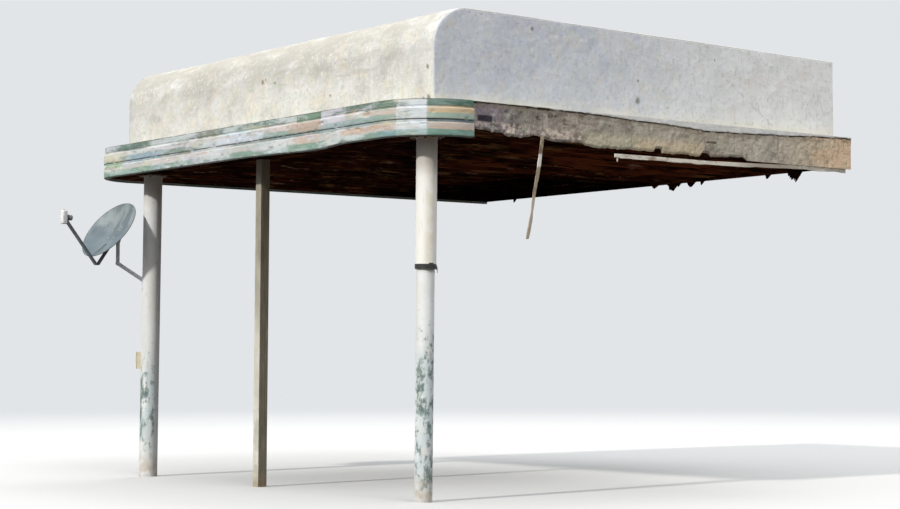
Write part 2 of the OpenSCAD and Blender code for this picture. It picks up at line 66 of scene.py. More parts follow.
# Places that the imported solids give
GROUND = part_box("post_right")[0].z
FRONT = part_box("fascia_front")[0].y
BAND_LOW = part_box("fascia_front")[0].z
BAND_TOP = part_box("fascia_front")[1].z
HALF_W = -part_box("fascia_left")[0].x
CORNER_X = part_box("fascia_front")[1].x
CORNER_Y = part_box("fascia_left")[0].y
CORNER_R = HALF_W - CORNER_X
BREAK_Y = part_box("raw_edge_right")[0].y
RIM_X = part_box("rim_right")[1].x
RIM_R = RIM_X - CORNER_X
BOX_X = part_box("stucco_right")[1].x
INNER_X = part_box("stucco_right")[0].x
BOX_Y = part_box("stucco_front")[0].y
BOX_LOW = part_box("stucco_front")[0].z
BOX_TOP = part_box("stucco_front")[1].z
STUCCO_T = BOX_X - INNER_X
ROLL_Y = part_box("roof_deck")[0].y - STUCCO_T
ROLL_R = ROLL_Y - BOX_Y
# Height of the bulkhead's top at its back
BACK_TOP = max(v.co.z for v in NODES["stucco_right"].data.vertices if v.co.y > -0.001)


def rgb(r, g, b):
    """A colour as it shows on a screen, from 0 to 255, in the linear values that nodes take."""
    shown = np.array([r, g, b]) / 255
    linear = np.where(shown <= 0.04045, shown / 12.92, ((shown + 0.055) / 1.055) ** 2.4)
    return (*linear.tolist(), 1.0)


class Tree:
    """Short ways to add nodes to a node tree and to feed their sockets."""

    def __init__(self, tree):
        self.tree = tree

    def add(self, kind, **settings):
        node = self.tree.nodes.new(kind)
        for key, value in settings.items():
            setattr(node, key, value)
        return node

    def feed(self, socket, value):
        """Links another node's output to a socket, or writes a plain value there."""
        if isinstance(value, bpy.types.NodeSocket):
            self.tree.links.new(value, socket)
        else:
            socket.default_value = value

    def calc(self, operation, a, b=0.0):
        node = self.add("ShaderNodeMath", operation=operation)
        self.feed(node.inputs[0], a)
        self.feed(node.inputs[1], b)
        return node.outputs[0]

    def blend(self, share, a, b):
        """Mixes two shaders."""
        node = self.add("ShaderNodeMixShader")
        for socket, value in zip(node.inputs, (share, a, b)):
            self.feed(socket, value)
        return node.outputs[0]

    def in_view(self):
        """1 where the camera looks, also in a reflection, and 0 for the light that falls on things."""
        path = self.add("ShaderNodeLightPath")
        return self.calc("MAXIMUM", path.outputs["Is Camera Ray"], path.outputs["Is Glossy Ray"])


class Finish(Tree):
    """A material under construction. colour is what it shows so far, and coat() lays more over it."""

    def __init__(self, name):
        self.material = bpy.data.materials.new(name)
        self.material.use_nodes = True
        super().__init__(self.material.node_tree)
        self.shader = self.tree.nodes["Principled BSDF"]
        self.place = self.add("ShaderNodeTexCoord").outputs["Object"]
        parts = self.add("ShaderNodeSeparateXYZ")
        self.feed(parts.inputs[0], self.place)
        self.x, self.y, self.z = parts.outputs
        self.colour = None

    def both(self, *masks):
        """Where all the masks meet."""
        total = masks[0]
        for mask in masks[1:]:
            total = self.calc("MULTIPLY", total, mask)
        return total

    def scaled(self, value, factor, offset=0.0):
        return self.calc("ADD", self.calc("MULTIPLY", value, factor), offset)

    def attribute(self, name):
        return self.add("ShaderNodeAttribute", attribute_name=name).outputs["Fac"]

    def noise(self, size, along=(1, 1, 1), detail=5.0, rough=0.6, seed=0.0, place=None):
        """Cloudy noise with clouds about size across. A share below 1 in along draws them out."""
        where = self.add("ShaderNodeMapping")
        self.feed(where.inputs["Vector"], place or self.place)
        where.inputs["Location"].default_value = (seed * 7.31, seed * 3.77, seed * 5.13)
        where.inputs["Scale"].default_value = along
        node = self.add("ShaderNodeTexNoise")
        self.feed(node.inputs["Vector"], where.outputs[0])
        node.inputs["Scale"].default_value = 1 / size
        node.inputs["Detail"].default_value = detail
        node.inputs["Roughness"].default_value = rough
        return node.outputs[0]

    def spots(self, size, low, high, **settings):
        """Noise cut to patches: 0 below low and 1 above high, or the other way round."""
        return self.step(self.noise(size, **settings), low, high)

    def step(self, value, low, high):
        """A smooth step from 0 at low to 1 at high, in either order."""
        node = self.add("ShaderNodeMapRange", interpolation_type="SMOOTHSTEP")
        self.feed(node.inputs["Value"], value)
        node.inputs["From Min"].default_value = low
        node.inputs["From Max"].default_value = high
        return node.outputs[0]

    def between(self, value, low, high, soft):
        """1 from low to high, and a soft fall to 0 on both sides."""
        return self.both(self.step(value, low - soft, low), self.step(value, high + soft, high))

    def near(self, point, reach):
        """1 close to a point and 0 beyond reach, with a ragged outline."""
        node = self.add("ShaderNodeVectorMath", operation="DISTANCE")
        self.feed(node.inputs[0], self.place)
        node.inputs[1].default_value = point
        ragged = self.scaled(self.noise(reach, detail=5, rough=0.7), 2 * reach, -reach)
        return self.step(self.calc("ADD", node.outputs["Value"], ragged), reach, 0.3 * reach)

    def crack(self, start, end, wide):
        """A thin wavering line on a side of the canopy, between two points given as Y and Z."""
        run, rise = end[0] - start[0], end[1] - start[1]
        length = math.hypot(run, rise)
        over = self.calc("ADD", self.both(self.y, -rise / length), self.both(self.z, run / length))
        waver = self.scaled(self.noise(0.08), 0.05, -0.025)
        middle = (start[1] * run - start[0] * rise) / length
        over = self.calc("SUBTRACT", self.calc("ADD", over, waver), middle)
        along = self.calc("ADD", self.both(self.y, run / length), self.both(self.z, rise / length))
        first = (start[0] * run + start[1] * rise) / length
        return self.both(self.step(self.calc("ABSOLUTE", over), wide, wide / 3),
                         self.between(along, first, first + length, 0.03))

    def ramp(self, value, *stops):
        node = self.add("ShaderNodeValToRGB")
        self.feed(node.inputs[0], value)
        elements = node.color_ramp.elements
        while len(elements) < len(stops):
            elements.new(0.5)
        for element, (place, colour) in zip(elements, stops):
            element.position = place
            element.color = colour
        return node.outputs[0]

    def mix(self, share, a, b):
        node = self.add("ShaderNodeMix", data_type="RGBA")
        self.feed(node.inputs["Factor"], share)
        self.feed(node.inputs[6], a)
        self.feed(node.inputs[7], b)
        return node.outputs[2]

    def coat(self, colour, *masks):
        """Lays a colour over the finish where all the masks meet. A number thins the coat."""
        self.colour = self.mix(self.both(*masks), self.colour, colour)

    def facing(self, axis):
        """How much the surface faces along X, Y or Z, from -1 to 1."""
        parts = self.add("ShaderNodeSeparateXYZ")
        self.feed(parts.inputs[0], self.add("ShaderNodeNewGeometry").outputs["True Normal"])
        return parts.outputs["XYZ".index(axis)]

    def turned_to(self, direction):
        """How much the surface faces a direction, from -1 to 1."""
        node = self.add("ShaderNodeVectorMath", operation="DOT_PRODUCT")
        self.feed(node.inputs[0], self.add("ShaderNodeNewGeometry").outputs["True Normal"])
        node.inputs[1].default_value = Vector(direction).normalized()
        return node.outputs["Value"]

    def bumps(self, *heights):
        """Adds up heights, each with the depth in metres that it stands for."""
        normal = None
        for height, depth in heights:
            node = self.add("ShaderNodeBump")
            node.inputs["Distance"].default_value = depth
            self.feed(node.inputs["Height"], height)
            if normal:
                self.feed(node.inputs["Normal"], normal)
            normal = node.outputs[0]
        self.feed(self.shader.inputs["Normal"], normal)

    def done(self, roughness, specular=0.4):
        self.feed(self.shader.inputs["Base Color"], self.colour)
        self.feed(self.shader.inputs["Roughness"], roughness)
        self.shader.inputs["Specular IOR Level"].default_value = specular
        return self.material


# Finishes

# Small dark marks and knocks on the bulkhead, each with its reach
MARKS = (
    ((BOX_X, -2.875, 0.400), 0.042), ((BOX_X, -2.87, 0.60), 0.022), ((BOX_X, -4.25, 0.98), 0.030),
    ((BOX_X, -1.80, 0.90), 0.018), ((-0.03, BOX_Y, 0.685), 0.034), ((0.03, BOX_Y, 0.70), 0.020),
    ((0.20, BOX_Y, 0.651), 0.024), ((2.79, BOX_Y, 0.53), 0.032), ((2.80, BOX_Y, 0.235), 0.045),
    ((2.72, BOX_Y, 0.225), 0.035), ((2.60, BOX_Y, 0.220), 0.025), ((1.20, BOX_Y, 0.42), 0.020),
)
# A crack on the side, from end to end, and a spot of fresh white near it
CRACK = ((-1.82, 0.84), (-0.90, 0.25))
FRESH_SPOT = (BOX_X, -1.00, 0.43)


def stucco_stains(f, ahead, aside):
    """Broad patches in which the old paint has turned, on the front and on the sides, and blue patches of
    painted sky-lit shade on the sides.
    """
    cream = f.spots(0.16, 0.50, 0.62, detail=7, seed=3)
    f.coat(rgb(226, 216, 192), cream, ahead, 0.50)
    f.coat(rgb(198, 204, 190), f.spots(0.13, 0.52, 0.64, detail=7, seed=6), ahead, 0.45)
    f.coat(rgb(224, 206, 196), f.spots(0.10, 0.56, 0.66, seed=4), ahead, 0.35)
    f.coat(rgb(236, 222, 208), f.spots(0.22, 0.52, 0.66, detail=7, seed=4), aside, 0.35)
    # Blue patches on the sides towards the front are painted sky-lit shade.
    blue = f.both(f.spots(0.15, 0.46, 0.66, detail=7, seed=5), aside, f.step(f.y, -1.6, -3.4))
    f.coat(rgb(198, 206, 226), blue, 0.40)
    f.coat(rgb(226, 230, 216), f.spots(0.12, 0.54, 0.66, seed=16), aside, 0.40)
    level = f.spots(0.09, 0.52, 0.66, along=(0.20, 0.20, 1), detail=7, seed=8)
    f.coat(rgb(186, 182, 170), level, ahead, 0.42)
    f.coat(rgb(196, 194, 190), f.spots(0.05, 0.55, 0.70, along=(1, 1, 0.30), seed=9), 0.38)


def stucco_grime_and_top_shade(f, ahead, crown):
    """Dirt along the rolled edge, thinner towards the right, a darker top of the roll that is dirt and
    painted shade, and the pale corner beside it.
    """
    high = f.both(f.step(f.z, BOX_TOP - 0.62, BOX_TOP - 0.20), f.step(f.z, BOX_TOP + 0.02, BOX_TOP - 0.10))
    dull = f.scaled(f.step(f.x, 0.4, 2.0), -0.45, 0.74)
    soot = f.spots(0.20, 0.30, 0.56, along=(0.4, 0.4, 1), detail=7, seed=11)
    f.coat(rgb(174, 169, 158), high, soot, ahead, dull)
    smear = f.spots(0.11, 0.46, 0.58, along=(0.22, 1, 1), seed=17)
    f.coat(rgb(168, 164, 154), high, f.step(f.x, 0.6, 1.9), smear, ahead, 0.32)
    # Darkens the upward faces of the roll and top: dirt, and painted shade that keeps the top from showing
    # brighter than the front.
    f.coat(rgb(176, 170, 156), crown, f.spots(0.16, 0.28, 0.56, along=(0.5, 1, 1), detail=7, seed=12), 0.75)
    edge = f.step(f.calc("ABSOLUTE", f.x), BOX_X - 0.028, BOX_X - 0.018)
    brim = f.both(edge, f.step(f.y, ROLL_Y - 0.15, ROLL_Y), f.step(f.facing("Z"), 0.10, 0.45))
    f.coat(rgb(150, 147, 140), brim, 0.8)
    corner = f.both(f.step(f.x, BOX_X - 0.22, BOX_X - 0.04), f.spots(0.10, 0.36, 0.52, seed=18))
    f.coat(rgb(232, 229, 220), corner, ahead, 0.7)


def stucco_dash(f, aside, crown):
    """The dash itself: dark pits, bright heads and fine grain, which it returns for the bump."""
    dash = f.noise(0.042, detail=5, rough=0.70, seed=7)
    f.coat(rgb(164, 160, 150), f.step(dash, 0.54, 0.68), f.scaled(aside, -0.08, 0.48))
    heads = f.step(dash, 0.46, 0.32)
    f.coat(rgb(250, 248, 242), heads, f.scaled(aside, -0.10, 0.48), f.scaled(crown, -0.8, 1.0))
    grain = f.noise(0.014, detail=4, rough=0.72, seed=19)
    f.coat(rgb(150, 146, 138), f.step(grain, 0.58, 0.74), f.scaled(aside, -0.18, 0.42))
    return dash, grain


def stucco_marks(f, ahead, aside):
    """Cream at the foot of the sides, dirt behind the right corner, rust, knocks and a crack."""
    foot = f.step(f.z, BAND_TOP + 0.13, BAND_TOP + 0.01)
    f.coat(rgb(240, 234, 212), foot, aside, f.spots(0.30, 0.36, 0.52, seed=13), 0.6)
    dirty = f.both(f.step(f.z, BAND_TOP + 0.034, BAND_TOP + 0.016), f.step(f.x, 1.7, 2.1))
    f.coat(rgb(118, 112, 82), dirty, f.spots(0.035, 0.46, 0.56, along=(0.4, 0.4, 1), seed=14), ahead, 0.85)
    rust = f.both(f.step(f.z, BACK_TOP - 0.07, BACK_TOP - 0.01), f.spots(0.025, 0.60, 0.68, seed=15))
    f.coat(rgb(150, 132, 112), rust, aside, 0.7)
    for point, reach in MARKS:
        f.coat(rgb(104, 98, 88), f.near(point, reach), 0.70)
    f.coat(rgb(176, 170, 160), f.crack(*CRACK, 0.016), f.spots(0.06, 0.46, 0.58), 0.40)
    f.coat(rgb(253, 251, 244), f.near(FRESH_SPOT, 0.040), f.spots(0.02, 0.36, 0.46), 0.9)


def bulkhead_stucco():
    """Old white stucco: warm and streaked on the front, mottled on the sides, whose cool grey is painted
    sky-lit shade.
    """
    f = Finish("bulkhead_stucco")
    aside = f.step(f.calc("ABSOLUTE", f.facing("X")), 0.45, 0.75)
    ahead = f.calc("SUBTRACT", 1.0, aside)
    crown = f.step(f.facing("Z"), 0.25, 0.85)
    cloud = f.noise(0.40, detail=8, rough=0.68)
    front = f.ramp(cloud, (0.34, rgb(192, 189, 183)), (0.50, rgb(215, 213, 207)), (0.66, rgb(229, 227, 222)))
    # The sides get their own colours by the way the surface faces; the cool, bluer grey of the sides near the
    # front is painted sky-lit shade.
    near = f.ramp(cloud, (0.34, rgb(206, 209, 214)), (0.50, rgb(214, 217, 221)), (0.66, rgb(222, 224, 227)))
    far = f.ramp(cloud, (0.34, rgb(238, 237, 234)), (0.50, rgb(246, 245, 241)), (0.66, rgb(252, 251, 247)))
    f.colour = f.mix(aside, front, f.mix(f.step(f.y, -4.4, -0.6), near, far))
    stucco_stains(f, ahead, aside)
    stucco_grime_and_top_shade(f, ahead, crown)
    dash, grain = stucco_dash(f, aside, crown)
    stucco_marks(f, ahead, aside)
    f.bumps((dash, 0.0045), (grain, 0.0022), (f.noise(0.007, detail=3, seed=9), 0.0010))
    return f.done(0.92)


def scratch_coat():
    """The back of the stucco: a grey coat that was pushed through paper and wire."""
    f = Finish("scratch_coat")
    key = f.noise(0.02, along=(0.25, 0.25, 1), detail=3)
    f.colour = f.ramp(f.noise(0.3), (0.3, rgb(92, 80, 66)), (0.7, rgb(132, 120, 103)))
    f.coat(rgb(150, 142, 128), f.step(key, 0.50, 0.62))
    f.bumps((key, 0.006))
    return f.done(0.95)


def ledge_stucco():
    """The ledge round the bulkhead, grey with dirt and moss where water lies."""
    f = Finish("ledge_stucco")
    f.colour = f.ramp(f.noise(0.35, detail=7), (0.32, rgb(140, 134, 118)), (0.6, rgb(188, 184, 170)))
    f.coat(rgb(96, 104, 70), f.spots(0.09, 0.52, 0.66, detail=6, seed=4), 0.7)
    f.bumps((f.noise(0.03, detail=4), 0.004))
    return f.done(0.93)


# Heights of the moulding's bands over its lower edge
LOW_RIB_MID = 0.062
LOW_RIB_TOP = 0.128
HIGH_RIB_LOW = 0.154
HIGH_RIB_MID = 0.208
HIGH_RIB_TOP = 0.264
TOP_BAND_LOW = 0.278
BAND_H = BAND_TOP - BAND_LOW
GROOVE_DEEP = 0.012
TOP_BAND_DEEP = 0.012
LIP_DEEP = 0.013
BAND_BACK = 0.040
RIB_ROUND = 0.012

# Where the paint of the moulding is kept best: past this distance along its run
FRESH_FROM = 3.07
# Ends of stretches that are cut straight; the others are ragged
SHARP_ENDS = (1.62, 2.79, FRESH_FROM)

# Stretches of the front moulding that were painted or have worn differently. Each is where it
# starts and ends along the run, its lower and upper height, its colour and how much it covers.
STRETCHES = (
    (-2.90, -2.35, LOW_RIB_MID, HIGH_RIB_TOP, rgb(222, 216, 188), 0.60),
    (-2.66, -2.36, 0.095, 0.150, rgb(118, 166, 126), 0.70),
    (-2.70, -1.70, 0.0, LOW_RIB_MID, rgb(136, 166, 152), 0.60),
    (-2.30, -1.95, HIGH_RIB_TOP, BAND_H, rgb(92, 112, 104), 0.65),
    (-2.10, -1.50, LOW_RIB_TOP, HIGH_RIB_MID, rgb(136, 164, 184), 0.65),
    (-1.60, -1.20, LOW_RIB_MID, LOW_RIB_TOP, rgb(226, 206, 206), 0.60),
    (-1.25, -0.85, LOW_RIB_TOP, HIGH_RIB_MID, rgb(116, 128, 114), 0.60),
    (-0.62, -0.35, HIGH_RIB_TOP, BAND_H, rgb(112, 112, 92), 0.75),
    (-0.20, 0.55, HIGH_RIB_LOW, HIGH_RIB_TOP, rgb(212, 216, 226), 0.70),
    (0.00, 0.30, LOW_RIB_TOP, HIGH_RIB_LOW, rgb(110, 122, 120), 0.60),
    (0.60, 1.60, LOW_RIB_TOP, HIGH_RIB_LOW + 0.015, rgb(104, 128, 124), 0.70),
    (0.70, 1.00, HIGH_RIB_MID, HIGH_RIB_TOP, rgb(216, 196, 190), 0.60),
    (1.12, 1.66, HIGH_RIB_LOW + 0.020, HIGH_RIB_TOP, rgb(190, 158, 138), 0.70),
    (1.20, 1.62, HIGH_RIB_TOP, BAND_H, rgb(78, 118, 84), 0.75),
    (1.15, 1.62, LOW_RIB_MID, LOW_RIB_TOP, rgb(204, 178, 160), 0.65),
    (1.10, 1.66, 0.0, LOW_RIB_MID, rgb(118, 152, 130), 0.65),
    (1.62, 2.02, HIGH_RIB_MID, BAND_H, rgb(208, 204, 214), 0.80),
    (1.66, 2.40, LOW_RIB_TOP, HIGH_RIB_MID, rgb(168, 184, 190), 0.60),
    (2.00, 2.74, LOW_RIB_MID, LOW_RIB_TOP, rgb(190, 160, 132), 0.75),
    (2.30, 2.76, HIGH_RIB_MID, HIGH_RIB_TOP, rgb(202, 172, 146), 0.65),
    (2.45, 2.79, HIGH_RIB_TOP, BAND_H, rgb(90, 118, 90), 0.70),
    (2.52, 2.79, 0.0, LOW_RIB_MID, rgb(116, 154, 162), 0.60),
    (2.79, FRESH_FROM, LOW_RIB_MID, BAND_H, rgb(216, 220, 223), 0.85),
    (2.79, FRESH_FROM, 0.0, LOW_RIB_MID, rgb(176, 196, 196), 0.75),
)


# Edges of the moulding's bands from its lower edge up, and how soft they are
BAND_EDGES = (0.0, LOW_RIB_MID, LOW_RIB_TOP, HIGH_RIB_LOW, HIGH_RIB_MID, HIGH_RIB_TOP, TOP_BAND_LOW, BAND_H)
EDGE_SOFT = 0.004
# Old paint of the bands, where it has worn and where it has kept its colours
WORN_BANDS = (
    rgb(132, 156, 142), rgb(196, 192, 184), rgb(160, 172, 168), rgb(150, 170, 160), rgb(200, 198, 190),
    rgb(160, 164, 154), rgb(100, 122, 108),
)
KEPT_BANDS = (
    rgb(112, 146, 130), rgb(192, 170, 152), rgb(84, 98, 104), rgb(158, 176, 160), rgb(204, 180, 146),
    rgb(150, 140, 116), rgb(62, 104, 82),
)
# Patches of later coats: size, the noise at which they start and are whole, seed, colour and share
LATER_COATS = (
    (0.22, 0.46, 0.58, 2, rgb(220, 225, 226), 0.70),
    (0.12, 0.52, 0.60, 6, rgb(204, 200, 210), 0.60),
    (0.15, 0.53, 0.62, 7, rgb(176, 196, 202), 0.60),
    (0.13, 0.55, 0.63, 8, rgb(208, 206, 178), 0.60),
    (0.11, 0.57, 0.65, 10, rgb(198, 170, 150), 0.60),
    (0.10, 0.56, 0.64, 11, rgb(116, 148, 134), 0.60),
    (0.07, 0.58, 0.66, 16, rgb(98, 116, 106), 0.50),
)


def banded(f, height, colours):
    """The moulding's bands in their colours, by the height over its lower edge."""
    stops = []
    for low, high, colour in zip(BAND_EDGES[:-1], BAND_EDGES[1:], colours):
        stops += [((low + EDGE_SOFT) / BAND_H, colour), ((high - EDGE_SOFT) / BAND_H, colour)]
    return f.ramp(f.both(height, 1 / BAND_H), *stops)


def painted_stretches(f, run, height, flat):
    """Lays the stretches over the bands, torn into patches. It returns the tears for the bump."""
    uneven = f.calc("ADD", run, f.scaled(f.noise(0.05, detail=6, place=flat, seed=12), 0.26, -0.13))
    torn = f.spots(0.08, 0.34, 0.56, along=(0.4, 1, 1.3), detail=7, rough=0.7, place=flat, seed=13)
    for start, end, low, high, colour, share in STRETCHES:
        if start in SHARP_ENDS or end in SHARP_ENDS:
            where = f.between(run, start, end, 0.014)
        else:
            where = f.between(uneven, start, end, 0.10)
        f.coat(colour, where, f.between(height, low + EDGE_SOFT, high - EDGE_SOFT, 0.010), torn, share)
    return torn


def moulding_grime_and_underside_shade(f, rise, flat, settled, loose):
    """Dirt and flecks, the dark line under the ledge, the dark lower edge, and painted shade that colours the
    underside near black.
    """
    grime = f.spots(0.06, 0.50, 0.72, along=(0.22, 1, 1.2), detail=7, rough=0.74, place=flat, seed=9)
    f.coat(rgb(108, 114, 104), grime, f.scaled(settled, -0.25, 0.55))
    fleck = f.spots(0.030, 0.62, 0.70, along=(0.5, 1, 1.2), detail=7, rough=0.72, place=flat, seed=21)
    f.coat(rgb(78, 90, 80), fleck, 0.7)
    bright = f.spots(0.026, 0.60, 0.70, along=(0.4, 1, 1.2), detail=6, place=flat, seed=22)
    f.coat(rgb(238, 241, 242), bright, loose, 0.75)
    drip = f.spots(0.05, 0.40, 0.54, along=(0.5, 1, 1), place=flat, seed=4)
    f.coat(rgb(96, 96, 78), f.step(rise, BAND_H - 0.012, BAND_H - 0.003), drip, 0.8)
    f.coat(rgb(86, 96, 86), f.step(rise, 0.014, 0.001), 0.65)
    # Painted shade: faces that turn downwards are coloured near black.
    f.coat(rgb(34, 26, 22), f.step(f.facing("Z"), -0.6, -0.9), 0.95)


def moulding():
    """Plaster ribs with old green, peach and cream paint under the patches of a pale coat.
    The run attribute is the distance along the moulding and rise the height over its lower edge."""
    f = Finish("moulding")
    run, rise = f.attribute("run"), f.attribute("rise")
    joined = f.add("ShaderNodeCombineXYZ")
    f.feed(joined.inputs[0], run)
    f.feed(joined.inputs[2], rise)
    flat = joined.outputs[0]
    waver = f.calc("ADD", rise, f.scaled(f.noise(0.22, detail=6, place=flat, seed=1), 0.030, -0.015))
    settled = f.step(run, FRESH_FROM, FRESH_FROM + 0.03)
    f.colour = f.mix(settled, banded(f, waver, WORN_BANDS), banded(f, waver, KEPT_BANDS))
    loose = f.scaled(settled, -0.75, 1.0)
    for size, low, high, seed, colour, share in LATER_COATS:
        patch = f.spots(size, low, high, along=(0.26, 1, 1.4), detail=7, rough=0.70, place=flat, seed=seed)
        f.coat(colour, patch, loose, share)
    torn = painted_stretches(f, run, waver, flat)
    moulding_grime_and_underside_shade(f, rise, flat, settled, loose)
    f.bumps((torn, 0.0010), (f.noise(0.012, detail=4), 0.0012))
    return f.done(f.scaled(f.noise(0.05), 0.3, 0.60))


# Tones of the keyed coat, from the break of the moulding at 0 to the ledger at 1
KEYED_TONES = (
    (0.0, rgb(136, 128, 124)), (0.12, rgb(142, 134, 126)), (0.25, rgb(166, 154, 140)),
    (0.36, rgb(186, 177, 163)), (0.55, rgb(184, 172, 154)), (0.76, rgb(194, 184, 168)),
    (0.90, rgb(210, 192, 164)), (1.0, rgb(230, 205, 172)),
)


def plaster_stains(f, cloud):
    """Dark and light clouds, then stains and hollows that keep to their own stretch of the side."""
    f.coat(rgb(104, 94, 84), f.step(cloud, 0.50, 0.32), 0.60)
    f.coat(rgb(222, 214, 200), f.step(cloud, 0.52, 0.70), 0.45)
    f.coat(rgb(208, 200, 168), f.step(f.z, 0.05, -0.05), f.between(f.y, -3.7, -3.0, 0.2), 0.60)
    f.coat(rgb(222, 198, 160), f.step(f.z, 0.04, -0.06), f.between(f.y, -3.05, -2.3, 0.15), 0.55)
    f.coat(rgb(152, 140, 148), f.step(f.y, -4.60, -4.90), f.spots(0.12, 0.36, 0.5, seed=3), 0.75)
    warm = f.spots(0.26, 0.46, 0.58, along=(1, 0.6, 1), detail=7, seed=4)
    f.coat(rgb(230, 196, 162), warm, f.step(f.y, -1.0, -0.5), 0.7)
    mossy = f.spots(0.14, 0.54, 0.66, detail=7, seed=7)
    f.coat(rgb(192, 196, 170), mossy, f.step(f.y, -0.7, -1.3), 0.45)
    lump = f.both(f.step(f.z, 0.045, -0.02), f.step(f.y, -3.65, -3.95))
    f.coat(rgb(226, 208, 190), lump, f.spots(0.075, 0.46, 0.56, detail=6, seed=5), 0.85)
    hollow = f.spots(0.065, 0.56, 0.64, along=(1, 0.5, 1), detail=6, seed=14)
    f.coat(rgb(74, 64, 58), f.step(f.y, -3.2, -4.0), hollow, 0.75)


def plaster_grit(f):
    """Dark and pale grit, and thin upright runs of dirt. It returns the grit for the bump."""
    grit = f.noise(0.018, detail=5, rough=0.75, seed=3)
    f.coat(rgb(108, 98, 86), f.step(grit, 0.56, 0.72), 0.50)
    f.coat(rgb(232, 226, 214), f.step(grit, 0.44, 0.30), 0.40)
    f.coat(rgb(112, 100, 86), f.spots(0.040, 0.54, 0.70, along=(1, 1, 0.16), detail=4, seed=10), 0.42)
    return grit


def plaster_marks(f):
    """Single marks: a bruise and a dark gap near the break, two knocks and a pale scuff."""
    bruise = f.both(f.between(f.y, -5.09, -4.95, 0.03), f.between(f.z, 0.026, 0.066, 0.020))
    f.coat(rgb(44, 38, 50), bruise, 0.92)
    gap = f.step(f.z, BAND_TOP - 0.030, BAND_TOP - 0.016)
    f.coat(rgb(36, 30, 26), f.step(f.y, -4.98, -5.06), gap, 0.9)
    f.coat(rgb(70, 60, 52), f.between(f.y, -2.16, -2.04, 0.02), f.between(f.z, 0.005, 0.020, 0.010), 0.8)
    f.coat(rgb(88, 72, 62), f.near((RIM_X + BAND_BACK, -1.64, 0.075), 0.035), 0.7)
    scuff = f.both(f.between(f.y, -4.31, -4.27, 0.015), f.between(f.z, 0.02, 0.13, 0.02))
    f.coat(rgb(214, 204, 190), scuff, f.spots(0.03, 0.36, 0.5), 0.55)


def torn_coat(f):
    """The pale stucco down to its torn edge, the crack below that edge, which also holds painted shadow under
    the proud coat, and the stain below it.
    The under attribute is the distance below the edge."""
    under = f.attribute("under")
    pale = f.ramp(f.noise(0.12, detail=6, seed=11), (0.34, rgb(216, 214, 208)), (0.62, rgb(236, 234, 229)))
    f.coat(pale, f.step(under, 0.001, -0.001))
    # The dark line below the torn edge is a crack and also painted shadow cast by the proud pale coat.
    crack = f.both(f.between(under, 0.0, 0.011, 0.003), f.spots(0.10, 0.34, 0.50, seed=9))
    f.coat(rgb(44, 36, 28), crack, 0.95)
    stain = f.both(f.between(under, 0.011, 0.045, 0.015), f.spots(0.08, 0.40, 0.56, seed=12))
    f.coat(rgb(140, 126, 106), stain, 0.5)


def rough_plaster():
    """The keyed coat behind the lost moulding, under the torn edge of the pale stucco."""
    f = Finish("rough_plaster")
    cloud = f.noise(0.20, along=(1, 0.6, 1), detail=8, rough=0.70)
    f.colour = f.ramp(f.scaled(f.y, -1 / BREAK_Y, 1.0), *KEYED_TONES)
    plaster_stains(f, cloud)
    grit = plaster_grit(f)
    plaster_marks(f)
    torn_coat(f)
    f.bumps((grit, 0.006), (cloud, 0.010))
    return f.done(0.95, 0.1)


# How far grain and streaks are drawn out along a timber
GRAIN = {"X": (0.03, 1, 1), "Y": (1, 0.03, 1), "Z": (1, 1, 0.03)}
STREAK = {"X": (0.10, 1, 1), "Y": (1, 0.10, 1)}


def timber(name, run, dark, mid, light, warm):
    """Sawn timber with its grain along run. Warm stains follow the grain."""
    f = Finish(name)
    fibre = f.noise(0.012, along=GRAIN[run], detail=6, rough=0.65)
    band = f.noise(0.05, along=GRAIN[run], detail=5, seed=2)
    f.colour = f.ramp(fibre, (0.30, dark), (0.52, mid), (0.72, light))
    f.coat(warm, f.step(band, 0.52, 0.66), 0.75)
    f.coat(dark, f.spots(0.6, 0.42, 0.62, seed=4), 0.7)
    f.bumps((fibre, 0.002), (band, 0.002))
    return f.done(0.92, 0.3)


def old_timber(name, run, pale=1.0):
    """Dark old timber with rusty, ochre and sooty streaks along its run, turning near black at the back left,
    which is soot and painted shade. pale scales the light ones.
    """
    f = Finish(name)
    fibre = f.noise(0.014, along=GRAIN[run], detail=6, rough=0.65)
    f.colour = f.ramp(fibre, (0.32, rgb(36, 20, 16)), (0.52, rgb(78, 46, 36)), (0.70, rgb(126, 84, 60)))
    f.coat(rgb(132, 64, 46), f.spots(0.055, 0.50, 0.58, along=STREAK[run], detail=6, seed=2), 0.75)
    f.coat(rgb(186, 140, 92), f.spots(0.050, 0.56, 0.64, along=STREAK[run], detail=6, seed=6), 0.85 * pale)
    f.coat(rgb(222, 188, 170), f.spots(0.040, 0.62, 0.68, along=STREAK[run], detail=5, seed=8), 0.80 * pale)
    f.coat(rgb(24, 15, 14), f.spots(0.50, 0.46, 0.60, seed=4), 0.75)
    # Near black towards the ledger on the left: soot, and painted shade deep under the canopy.
    f.coat(rgb(12, 8, 9), f.step(f.y, -2.4, -1.6), f.step(f.x, 0.4, -0.2), 0.92)
    rusty = f.both(f.step(f.x, 0.0, 1.2), f.between(f.y, -3.4, -0.7, 0.4))
    f.coat(rgb(170, 96, 62), rusty, f.spots(0.09, 0.42, 0.56, along=STREAK[run], detail=6, seed=9), 0.85)
    f.bumps((fibre, 0.002))
    return f.done(0.95, 0.0)


def framing(run):
    """Dry softwood inside the bulkhead, kept from the weather."""
    name = f"framing_{run.lower()}"
    return timber(name, run, rgb(110, 78, 48), rgb(150, 112, 72), rgb(180, 142, 98), rgb(128, 80, 46))



